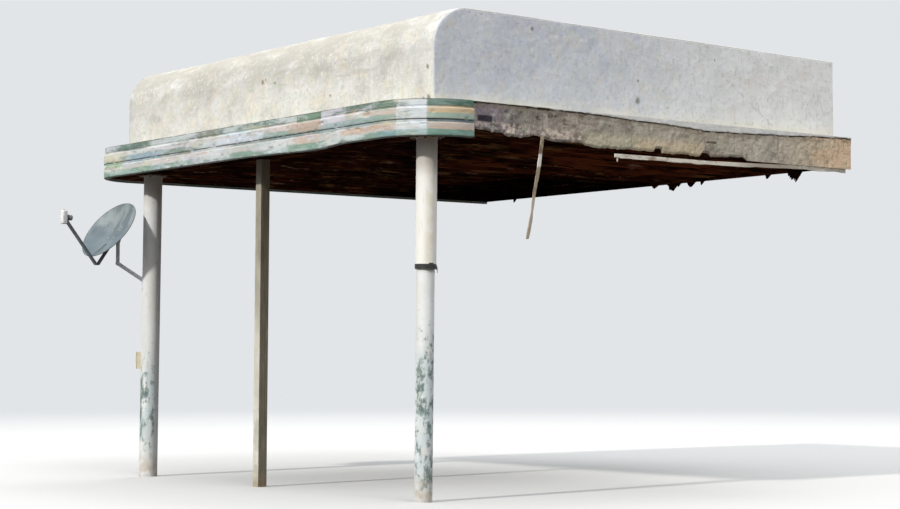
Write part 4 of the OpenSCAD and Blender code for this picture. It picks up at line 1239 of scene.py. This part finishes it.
def ceiling_boards(finish):
    """Deck boards across the joists, butted at random and cut round at the front corners."""
    low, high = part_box("ceiling_deck")
    heap = Heap()
    for y in np.arange(low.y, high.y - 0.02, BOARD_W):
        far = min(y + BOARD_W - BOARD_GAP, high.y)
        reach = [plan_half_width(v) for v in (y + 0.001, far)]
        joints = sorted(RANDOM.uniform(-BUTTS_WITHIN, BUTTS_WITHIN, 2))
        if joints[1] - joints[0] < BUTTS_APART:
            joints = [joints[0]]
        ends = [None, *joints, None]
        for a, b in zip(ends[:-1], ends[1:]):
            z = low.z + RANDOM.uniform(0, BOARD_DROP)
            left = [-reach[0], -reach[1]] if a is None else [a + BUTT_GAP, a + BUTT_GAP]
            right = reach if b is None else [b - BUTT_GAP, b - BUTT_GAP]
            outline = [(y + BOARD_BEVEL, z), (far - BOARD_BEVEL, z), (far, z + BOARD_BEVEL),
                       (far, high.z), (y, high.z), (y, z + BOARD_BEVEL)]
            heap.loops([[(here + (there - here) * (v - y) / (far - y), v, w) for v, w in outline]
                        for here, there in (left, right)])
    heap.make("ceiling_boards", finish, "deck_boards", ["ceiling_deck"])


def islands(node):
    """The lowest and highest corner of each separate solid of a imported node."""
    mesh = NODES[node].data
    keys = [tuple(np.round(v.co, 5)) for v in mesh.vertices]
    leader = {key: key for key in keys}

    def find(key):
        while leader[key] != key:
            key = leader[key]
        return key

    for face in mesh.polygons:
        for v in face.vertices[1:]:
            leader[find(keys[v])] = find(keys[face.vertices[0]])
    solids = {}
    for face in mesh.polygons:
        places = [keys[v] for v in face.vertices]
        solids.setdefault(find(places[0]), []).extend(places)
    for places in solids.values():
        yield np.min(places, 0), np.max(places, 0)


# The scraps: spacing of their points, their thickness, how much of one hangs, and its curl
SCRAP_STEP = 0.008
SCRAP_T = 0.005
SCRAP_HANG = 0.76
SCRAP_TORN = ((0.34, 0.030, 91), (0.20, 0.012, 92))
SCRAP_CURL = 0.35


def scrap(low, high):
    """A torn flap of ceiling paper and lath ends under the wall ledger: a thin sheet whose lower
    edge is ragged and whose foot curls forward."""
    middle, half = (low[0] + high[0]) / 2, (high[0] - low[0]) / 2
    loops = []
    for x in np.linspace(low[0], high[0], max(5, round((high[0] - low[0]) / SCRAP_STEP))):
        share = max(0.0, 1 - abs((x - middle) / half) ** 1.6)
        torn = SCRAP_HANG + layered(np.array([x, 0.0, 0.0]), SCRAP_TORN)
        hang = max(0.004, (high[2] - low[2]) * share * float(np.clip(torn, 0.1, 1.0)))
        curl = SCRAP_CURL * hang
        front = [(low[1] + 0.002 - curl * s**2, high[2] - hang * s) for s in np.linspace(0, 1, 5)]
        loops.append([(x, y, z) for y, z in [*front, *[(v + SCRAP_T, w) for v, w in front[::-1]]]])
    return swept(loops)


# Ranges of what is random about the snapped laths: the gap before the first, their lengths and the
# gaps between them, then how far each one skews, sags, keeps its width and hangs loose at one end
FIRST_GAP = (0, 0.40)
LATH_LENGTH = (0.20, 0.95)
LATH_GAP = (0.15, 1.4)
LATH_SKEW = (-0.10, 0.16)
LATH_SAG = (0, 0.012)
LATH_SHARE = (0.45, 1.0)
LATH_LOOSE = (0.04, 0.12)
# The share of the laths that hang loose
LOOSE_SHARE = 0.25


def snapped_lath(start, end, low, high):
    """One length of lath between two places along it, with tapered ends."""
    skew, sag, wide = RANDOM.uniform(*LATH_SKEW), RANDOM.uniform(*LATH_SAG), RANDOM.uniform(*LATH_SHARE)
    loose = RANDOM.uniform(*LATH_LOOSE) if RANDOM.random() < LOOSE_SHARE else 0.0
    middle, thick = (low[1] + high[1]) / 2, high[2] - low[2]
    loops = []
    for share in np.linspace(0, 1, 9):
        v = middle + skew * (share - 0.5)
        w = wide * (high[1] - low[1]) / 2 * (0.35 + 0.65 * min(1.0, 8 * share, 8 - 8 * share))
        z = high[2] - sag * 4 * share * (1 - share) * (end - start) - loose * share**2
        x = start + (end - start) * share
        loops.append([(x, v - w, z), (x, v - w, z - thick), (x, v + w, z - thick), (x, v + w, z)])
    return loops


def laths(finish):
    """What is left of the laths under the joists, snapped, split and sagging, and the torn scraps
    of ceiling along the ledger."""
    heap = Heap()
    for low, high in islands("lath_remnants"):
        if high[0] - low[0] < 0.5:
            heap.add(*scrap(low, high))
            continue
        x = low[0] + RANDOM.uniform(*FIRST_GAP)
        while x < high[0] - 0.25:
            end = min(x + RANDOM.uniform(*LATH_LENGTH), high[0])
            heap.loops(snapped_lath(x, end, low, high))
            x = end + RANDOM.uniform(*LATH_GAP)
    heap.make("lath_pieces", finish, "lath", ["lath_remnants"])


def roof_slope(base, start):
    """Height of the sloping roof at a depth, from its height at the roll's edge."""
    return lambda y: base + (BACK_TOP - BOX_TOP) * (y - start) / -ROLL_Y


ROOF_BOARD_T = 0.019


def roof_boards(finish):
    """Boards under the felt, laid across the sloping rafters."""
    low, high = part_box("roof_deck")
    top = roof_slope(high.z, low.y)
    heap = Heap()
    for y in np.arange(low.y, high.y - 0.02, BOARD_W):
        far = min(y + BOARD_W - BOARD_GAP, high.y)
        ends = [low.x, RANDOM.uniform(-1.8, 1.8), high.x]
        for a, b in zip(ends[:-1], ends[1:]):
            outline = [(y, top(y) - ROOF_BOARD_T), (far, top(far) - ROOF_BOARD_T),
                       (far, top(far)), (y, top(y))]
            heap.loops([[(x, v, z) for v, z in outline] for x in (a + 0.0005, b - 0.0005)])
    heap.make("roof_boards", finish, "deck_boards", ["roof_deck"])


# A strip of felt: its width, the lap over the strip below, its thickness and its points each way
FELT_W = 0.90
FELT_LAP = 0.07
FELT_T = 0.004
FELT_POINTS_X = 115
FELT_POINTS_Y = 14
# Depth, size and first seed of the felt's blisters
BLISTERS = ((0.003, 0.35, 51), (0.002, 0.1, 61))


def roof_felt(finish):
    """Strips of roll roofing along the canopy, each lapped over the one below it."""
    low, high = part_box("roof_felt")
    top = roof_slope(high.z, low.y)
    heap = Heap()
    for i in range(math.ceil((high.y - low.y) / (FELT_W - FELT_LAP))):
        start = max(low.y, high.y - (i + 1) * (FELT_W - FELT_LAP) - FELT_LAP)
        end = high.y - i * (FELT_W - FELT_LAP)
        vs = np.linspace(start, end, FELT_POINTS_Y)
        lapped = 0.0025 * (1 - (vs - start) / (end - start)) - 0.002
        loops = []
        for x in np.linspace(low.x, high.x, FELT_POINTS_X):
            points = np.column_stack([np.full(FELT_POINTS_Y, x), vs, [top(v) for v in vs]])
            rise = sum(deep * np.clip(lumps(points, size, seed + i), 0, 1) for deep, size, seed in BLISTERS)
            points[:, 2] += rise + lapped
            under = points[::-1].copy()
            under[:, 2] -= FELT_T
            loops.append(np.concatenate([points, under]))
        heap.loops(loops)
    heap.make("roof_felt_strips", finish, "felt", ["roof_felt"])


# Posts

# Lag bolts of the bearing plates: how far in from the corners, and the radius and sides of the
# washer and of the head
LAG_INSET = 0.030
WASHER = (0.017, 16)
LAG_HEAD = (0.011, 6)


def plate_bolts(finish):
    """Lag bolts with washers through the corners of the bearing plates, from below."""
    heap = Heap()
    for low, high in islands("bearing_plates"):
        if high[0] - low[0] < 0.1:
            continue
        xs, ys = ((low[i] + LAG_INSET, high[i] - LAG_INSET) for i in (0, 1))
        for x, y in itertools.product(xs, ys):
            heap.rod((x, y, low[2] + 0.001), (x, y, low[2] - 0.003), *WASHER)
            heap.rod((x, y, low[2] - 0.002), (x, y, low[2] - 0.012), *LAG_HEAD)
    heap.make("plate_bolts", finish, "plate_steel")


def pipe_axis(node):
    """Middle of a leaning pipe at its lower and upper end, and its outer radius."""
    points = corners(node)
    low = points[points[:, 2] < points[:, 2].min() + 0.002]
    high = points[points[:, 2] > points[:, 2].max() - 0.002]
    foot = (low.min(0) + low.max(0)) / 2
    top = (high.min(0) + high.max(0)) / 2
    return foot, top, (low[:, 1].max() - low[:, 1].min()) / 2


def level_way(angle):
    """The level direction at an angle from X."""
    return np.array([math.cos(angle), math.sin(angle), 0.0])


# The sleeve's seam: its middle and half its width as angles, and the sheet's thickness
SEAM_AT = math.radians(120)
SEAM_HALF = math.radians(7)
SHEET_T = 0.0012
RIVETS = 8


def sleeve_seam(finish):
    """The lapped seam of the sheet steel sleeve, held by rivets, at the back of the post."""
    foot, top, radius = pipe_axis("post_sleeve")
    outline = ((-SEAM_HALF, 0.0), (-SEAM_HALF, SHEET_T), (SEAM_HALF, SHEET_T), (SEAM_HALF, 0.0))
    heap = Heap()
    heap.loops([[middle + (radius + lift) * level_way(SEAM_AT + turn) for turn, lift in outline]
                for middle in (foot, top)])
    out = level_way(SEAM_AT)
    for share in np.linspace(0.04, 0.96, RIVETS):
        at = foot + (top - foot) * share + out * (radius + 0.001)
        heap.rod(at, at + out * 0.0025, 0.006, 10, 0.003)
    heap.make("sleeve_seam", finish, "post_paint")


# The strap's loose end: how far it goes round, how far it droops, lifts off and narrows, and its
# thickness. Then the buckle: its turn, half its width and its height as a share of the strap's.
TAIL_DEGREES = 62
TAIL_DROOP = 0.045
TAIL_LIFT = 0.004
TAIL_NARROWS = 0.3
STRAP_T = 0.004
BUCKLE_TURN = math.radians(-8)
BUCKLE_HALF = 0.022
BUCKLE_TALL = 0.62


def strap_tail(finish):
    """The strap's buckle and loose end, which droops round the back of the post."""
    points = corners("post_strap")
    low, high = points.min(0), points.max(0)
    middle = (low + high) / 2
    radius = (high[0] - low[0]) / 2
    tall = high[2] - low[2]
    loops = []
    for share in np.linspace(0, 1, 12):
        way = level_way(math.radians(TAIL_DEGREES * share))
        inner = radius + 0.001 + TAIL_LIFT * share
        half = 0.45 * tall * (1 - TAIL_NARROWS * share)
        drop = TAIL_DROOP * share**2
        loops.append([middle + way * r + (0, 0, z - drop) for r, z in (
            (inner, -half), (inner + STRAP_T, -half), (inner + STRAP_T, half), (inner, half))])
    heap = Heap()
    heap.loops(loops)
    turn = Matrix.Translation(Vector(middle)) @ Matrix.Rotation(BUCKLE_TURN, 4, "Z")
    half = tall * BUCKLE_TALL
    heap.box((radius - 0.002, -BUCKLE_HALF, -half), (radius + 0.008, BUCKLE_HALF, half), turn, 0.002)
    heap.make("strap_tail", finish, "strap")


# Satellite dish

# Place of the feed's ring on the dish: in from the rim, out from the bowl, and its lean back
FEED_IN = 0.135
FEED_REACH = 0.595
FEED_TILT = math.radians(145)
# The bowl's sheet, the bead of its rim, and the half spacing of the bolts in its middle
SHEET = 0.004
BEAD = 0.006
PLATE_BOLT = 0.055
# Bolts through the bracket's cheeks: X and Z of each, and half the distance between the cheeks
CHEEK_BOLTS = ((-0.018, -0.035), (0.030, -0.035), (0.0, -0.068))
CHEEK_Y = 0.024
# The horn's outline, as radius and height
HORN = (
    (0.0005, 0.060), (0.024, 0.060), (0.029, 0.057), (0.031, 0.052), (0.031, 0.040), (0.0295, 0.038),
    (0.0295, 0.036), (0.031, 0.034), (0.031, 0.032), (0.0235, 0.020), (0.021, 0.012), (0.0198, 0.010),
    (0.0198, -0.012), (0.0005, -0.012),
)
# The feed's white body: two corners, the radius of its edges, and how far its outline steps in at
# small distances from its ends. Then the places of its screws and of the two sockets on its end.
FEED_LOW, FEED_HIGH = Vector((-0.075, -0.030, -0.070)), Vector((0.075, 0.030, -0.012))
FEED_EDGE = 0.011
FEED_STEPS = ((0.0, 0.006), (0.002, 0.002), (0.006, 0.0))
FEED_SCREWS = tuple(itertools.product((-0.048, 0.048), (-0.018, 0.018)))
SOCKET_YS = (-0.013, 0.013)
SOCKET_Z = -0.045


def placed(turn):
    """A short way to write a point in the frame that turn gives."""
    return lambda x, y, z: turn @ Vector((x, y, z))


def dish_turn():
    """The frame of the dish: its axis on Z, the feed on +X and the back of the bowl at zero.
    Also the bowl's radius and depth."""
    bowl = corners("dish_reflector")
    middle = bowl.mean(0)
    axis = np.linalg.svd(bowl - middle, full_matrices=False)[2][2]
    head = corners("dish_head").mean(0)
    if (head - middle) @ axis < 0:
        axis = -axis
    along = (bowl - middle) @ axis
    origin = middle + axis * along.min()
    feed = (head - origin) - ((head - origin) @ axis) * axis
    feed /= np.linalg.norm(feed)
    radius = np.linalg.norm((bowl - origin) - np.outer((bowl - origin) @ axis, axis), axis=1).max()
    turn = Matrix((feed, np.cross(axis, feed), axis)).transposed().to_4x4()
    turn.translation = Vector(origin)
    return turn, float(radius), float(along.max() - along.min())


def revolved(profile, sides, turn):
    """Corners and faces of a closed profile of radius and height, turned round Z."""
    size = len(profile)
    verts = [turn @ Vector((r * math.cos(a), r * math.sin(a), z))
             for a in np.linspace(0, 2 * math.pi, sides, endpoint=False) for r, z in profile]
    faces = []
    for i, k in itertools.product(range(sides), range(size)):
        j, m = (i + 1) % sides, (k + 1) % size
        faces.append((i * size + k, j * size + k, j * size + m, i * size + m))
    return verts, faces


def bowl_sheet(r, radius, depth):
    """Height of the bowl's back at a distance from its axis."""
    return (depth - SHEET) * (r / radius) ** 2


def dish_bowl(turn, radius, depth, finish):
    """The pressed bowl with its rolled rim."""
    rs = np.linspace(0.004, radius - BEAD, 26)
    back = [(r, bowl_sheet(r, radius, depth)) for r in rs]
    front = [(r, z + SHEET) for r, z in back]
    edge, edge_z = back[-1]
    rim = [(edge + BEAD * math.cos(a), edge_z + SHEET / 2 + BEAD * math.sin(a))
           for a in np.linspace(math.pi / 2, -math.pi / 2, 7)]
    skin = revolved([*front, *rim, *back[::-1]], 72, turn)
    make("dish_bowl", *skin, finish, "dish_paint", ["dish_reflector"])


def dish_bolts(turn, radius, depth, finish):
    """The bolts that hold the bowl to its bracket, and the bracket's own bolts through its cheeks."""
    at = placed(turn)
    bolts = Heap()
    for x, y in itertools.product((-PLATE_BOLT, PLATE_BOLT), repeat=2):
        z = bowl_sheet(math.hypot(x, y), radius, depth) + SHEET
        bolts.rod(at(x, y, z - 0.001), at(x, y, z + 0.004), 0.010, 16, 0.006)
        bolts.rod(at(x, y, -0.002), at(x, y, -0.011), 0.009, 6)
        bolts.rod(at(x, y, -0.010), at(x, y, -0.016), 0.004, 10)
    for x, z in CHEEK_BOLTS:
        for side in (-1, 1):
            start = at(x, side * (CHEEK_Y - 0.002), z)
            bolts.rod(start, at(x, side * (CHEEK_Y + 0.007), z), 0.009, 6)
            bolts.rod(start, at(x, side * (CHEEK_Y + 0.001), z), 0.012, 16)
    bolts.make("dish_bolts", finish, "dish_steel")


def feed_body(at):
    """The feed's white body with rounded corners, set across the horn, and its four screws."""
    levels = [(FEED_LOW.z + up, inset) for up, inset in FEED_STEPS]
    levels += [(FEED_HIGH.z - down, inset) for down, inset in FEED_STEPS[::-1]]
    loops = []
    for z, inset in levels:
        ring = []
        for sx, sy, first in ((1, 1, 0), (-1, 1, 90), (-1, -1, 180), (1, -1, 270)):
            for a in np.radians(np.linspace(first, first + 90, 6)):
                x = sx * (FEED_HIGH.x - inset - FEED_EDGE) + FEED_EDGE * math.cos(a)
                y = sy * (FEED_HIGH.y - inset - FEED_EDGE) + FEED_EDGE * math.sin(a)
                ring.append(at(x, y, z))
        loops.append(ring)
    body = Heap()
    body.loops(loops)
    for x, y in FEED_SCREWS:
        body.rod(at(x, y, FEED_LOW.z + 0.001), at(x, y, FEED_LOW.z - 0.0015), 0.004, 10)
    return body


def dish_head(turn, radius, white, grey):
    """The feed: a capped grey horn on a neck, the white body behind it, and two cable sockets."""
    turn = turn @ Matrix.Translation((radius - FEED_IN, 0, FEED_REACH)) @ Matrix.Rotation(-FEED_TILT, 4, "Y")
    at = placed(turn)
    make("dish_horn", *revolved(HORN, 36, turn), grey, "dish_plastic")
    feed_body(at).make("dish_feed_body", white, "dish_plastic", ["dish_head"])
    sockets = Heap()
    for y in SOCKET_YS:
        sockets.rod(at(FEED_HIGH.x - 0.001, y, SOCKET_Z), at(FEED_HIGH.x + 0.009, y, SOCKET_Z), 0.0048, 12)
    sockets.make("dish_sockets", grey, "dish_plastic")


# The outlet box: the way it faces, how far the body is smaller than its cover plate and how deep,
# half the flap's width and its height, and how far the screws are from the middle
OUTLET_TURN = math.radians(-125)
OUTLET_IN = 0.003
OUTLET_DEEP = 0.056
COVER_T = 0.004
FLAP_HALF = 0.020
FLAP_Z = (-0.035, 0.045)
SCREW_Z = 0.078


def outlet(finish):
    """The switch box on the left post: a body with a cover plate, a flap and two screws."""
    points = corners("outlet_box")
    out, across = level_way(OUTLET_TURN), level_way(OUTLET_TURN + math.pi / 2)
    side = points @ across
    half_w = (side.max() - side.min()) / 2
    half_h = (points[:, 2].max() - points[:, 2].min()) / 2
    turn = Matrix((out, across, (0, 0, 1))).transposed().to_4x4()
    turn.translation = Vector(out * (points @ out).max() + across * (side.max() + side.min()) / 2)
    turn.translation.z = (points[:, 2].max() + points[:, 2].min()) / 2
    at = placed(turn)
    body_w, body_h = half_w - OUTLET_IN, half_h - OUTLET_IN
    heap = Heap()
    heap.box((-OUTLET_DEEP, -body_w, -body_h), (-COVER_T, body_w, body_h), turn, 0.004)
    heap.box((-COVER_T, -half_w, -half_h), (0.0, half_w, half_h), turn, 0.001)
    heap.box((-0.001, -FLAP_HALF, FLAP_Z[0]), (0.004, FLAP_HALF, FLAP_Z[1]), turn, 0.001)
    for z in (-SCREW_Z, SCREW_Z):
        heap.rod(at(-0.001, 0, z), at(0.0025, 0, z), 0.004, 10)
    heap.make("outlet_cover", finish, "outlet", ["outlet_box"])


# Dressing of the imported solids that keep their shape


def dress(names, material):
    for name in names:
        mesh = NODES[name].data
        mesh.materials.clear()
        mesh.materials.append(material)


def dress_solids():
    along, back = old_timber("old_timber_x", "X", 0.5), old_timber("old_timber_y", "Y")
    dress(["front_header", "wall_ledger", "joist_strips", "rim_front"], along)
    dress(["ceiling_joists", "lookouts", "rim_left", "rim_corner_left", "ledge_packing"], back)
    dress(["rim_right", "rim_corner_right"], rim_timber())
    dress(["roof_ledger"], framing("X"))
    dress(["rafters", "top_plates", "sole_plates"], framing("Y"))
    dress(["curved_ribs", "side_studs"], framing("Z"))
    dress(["ledge_front", "ledge_left", "ledge_right"], ledge_stucco())
    dress(["post_left"], post_paint("post_left_paint", 0.40, 1.20, 0.20, (0.15, -0.98, 0), 0.45))
    dress(["post_right"], post_paint("post_right_paint", 0.15, 1.45, 0.215, (0.90, -0.40, 0), 0.60))
    dress(["post_sleeve"], sleeve_paint())
    dress(["post_middle"], prop_timber())
    dress(["bearing_plates"], worn_steel("plate_steel", rgb(92, 82, 70), rgb(140, 130, 116), 0.50))
    dress(["dish_arm"], worn_steel("arm_steel", rgb(74, 78, 80), rgb(104, 108, 110), 0.70))
    dress(["dish_mast"], worn_steel("mast_steel", rgb(222, 224, 228), rgb(240, 241, 243), 0.72))


# Stage

BACKDROP = rgb(226, 229, 232)
# Each lamp: where its light comes from, its strength, its width in degrees and its colour
LAMPS = {
    "key": ((0.11, -0.85, 0.55), 2.45, 3.0, (1.0, 0.985, 0.95)),
    "side": ((0.62, -0.10, 0.78), 0.75, 25.0, (0.95, 0.97, 1.0)),
    "rim": ((-0.3, 0.5, 0.9), 0.5, 20.0, (1.0, 1.0, 1.0)),
}
# The floor: its radius, where it fades into the backdrop, and how dark the object sees it
FLOOR_R = 60
FADE_FROM, FADE_TO = 9.0, 30.0
DARK_FLOOR = (0.080, 0.070, 0.060, 1.0)


def sun(name, source, energy, width, colour):
    light = bpy.data.lights.new(name, "SUN")
    light.energy = energy
    light.angle = math.radians(width)
    light.color = colour
    lamp = bpy.data.objects.new(name, light)
    lamp.rotation_euler = Vector(source).to_track_quat("Z", "Y").to_euler()
    SCENE.collection.objects.link(lamp)


def floor():
    """A pale floor that fades into the backdrop. The object itself sees it dark, so that little
    light comes up under the canopy."""
    mesh = bpy.data.meshes.new("floor")
    angles = np.linspace(0, 2 * math.pi, 64, endpoint=False)
    ring = [(FLOOR_R * math.cos(a), FLOOR_R * math.sin(a), GROUND) for a in angles]
    mesh.from_pydata(ring, [], [list(range(len(ring)))])
    slab = bpy.data.objects.new("floor", mesh)
    SCENE.collection.objects.link(slab)
    f = Finish("floor")
    far = f.add("ShaderNodeVectorMath", operation="LENGTH")
    f.feed(far.inputs[0], f.place)
    glow = f.add("ShaderNodeEmission")
    f.feed(glow.inputs["Color"], BACKDROP)
    dark = f.add("ShaderNodeBsdfDiffuse")
    f.feed(dark.inputs["Color"], DARK_FLOOR)
    fade = f.blend(f.step(far.outputs["Value"], FADE_FROM, FADE_TO), f.shader.outputs[0], glow.outputs[0])
    seen = f.blend(f.in_view(), dark.outputs[0], fade)
    f.feed(f.tree.nodes["Material Output"].inputs["Surface"], seen)
    f.feed(f.shader.inputs["Base Color"], rgb(208, 206, 202))
    f.feed(f.shader.inputs["Roughness"], 0.9)
    mesh.materials.append(f.material)


def world():
    """A soft overhead sky, brighter towards the top, behind a plain backdrop."""
    studio = bpy.data.worlds.new("studio")
    SCENE.world = studio
    studio.use_nodes = True
    w = Tree(studio.node_tree)
    w.tree.nodes.clear()
    parts = w.add("ShaderNodeSeparateXYZ")
    w.feed(parts.inputs[0], w.add("ShaderNodeTexCoord").outputs["Generated"])
    level = w.add("ShaderNodeMapRange")
    w.feed(level.inputs["Value"], parts.outputs["Z"])
    w.feed(level.inputs["To Min"], 0.08)
    w.feed(level.inputs["To Max"], 1.65)
    sky = w.add("ShaderNodeBackground")
    w.feed(sky.inputs["Color"], rgb(238, 243, 250))
    w.feed(sky.inputs["Strength"], level.outputs[0])
    plain = w.add("ShaderNodeBackground")
    w.feed(plain.inputs["Color"], BACKDROP)
    seen = w.blend(w.in_view(), sky.outputs[0], plain.outputs[0])
    w.feed(w.add("ShaderNodeOutputWorld").inputs["Surface"], seen)


# The photograph's viewpoint, turned so that the canopy fills the frame
CAMERA = Vector((17.613, -16.642, GROUND + 1.33))
TURN_LEFT = 52.27
TILT_UP = 2.88
LENS = 81.2


def camera():
    data = bpy.data.cameras.new("camera")
    data.lens = LENS
    data.sensor_width = 36.0
    data.clip_end = 500.0
    eye = bpy.data.objects.new("camera", data)
    eye.location = CAMERA
    eye.rotation_euler = (math.radians(90 + TILT_UP), 0, math.radians(TURN_LEFT))
    SCENE.collection.objects.link(eye)
    SCENE.camera = eye


def stage():
    SCENE.view_settings.view_transform = "Standard"
    camera()
    world()
    floor()
    for name, settings in LAMPS.items():
        sun(name, *settings)


def bulkhead():
    stucco, back_coat = bulkhead_stucco(), scratch_coat()
    stucco_front(stucco, back_coat)
    stucco_side("stucco_left", -1, stucco, back_coat)
    stucco_side("stucco_right", 1, stucco, back_coat)


def fascia(fixings):
    plaster = moulding()
    moulding_piece("fascia_front", 1, -CORNER_X, CORNER_X, plaster)
    moulding_piece("fascia_corner_left", -1, CORNER_X, CORNER_RUN, plaster)
    moulding_piece("fascia_corner_right", 1, CORNER_X, CORNER_RUN + BREAK_Y - CORNER_Y, plaster)
    moulding_piece("fascia_left", -1, CORNER_RUN, CORNER_RUN - CORNER_Y, plaster)
    raw_edge(rough_plaster())
    loose_strip(loose_trim(), fixings)


def ceiling_and_roof():
    boards = old_timber("deck_boards", "X", 0.6)
    ceiling_boards(boards)
    laths(lath_timber())
    roof_boards(boards)
    roof_felt(felt())


def posts(fixings):
    plate_bolts(fixings)
    sleeve_seam(sleeve_paint())
    rubber = plain_surface("strap", rgb(44, 43, 42))
    dress(["post_strap"], rubber)
    strap_tail(rubber)


def dish_and_outlet():
    turn, radius, depth = dish_turn()
    dish_bowl(turn, radius, depth, dish_paint())
    dish_bolts(turn, radius, depth, worn_steel("dish_bolts", rgb(130, 134, 132), rgb(172, 174, 172), 0.62))
    white = plain_surface("feed_white", rgb(236, 235, 232))
    grey = plain_surface("feed_grey", rgb(134, 140, 142))
    dish_head(turn, radius, white, grey)
    outlet(plain_surface("outlet", rgb(228, 218, 188)))


stage()
dress_solids()
bulkhead()
fixings = worn_steel("fixings", rgb(96, 88, 78), rgb(150, 146, 138), 0.46)
fascia(fixings)
ceiling_and_roof()
hanging_strip(splinter_timber())
posts(fixings)
dish_and_outlet()
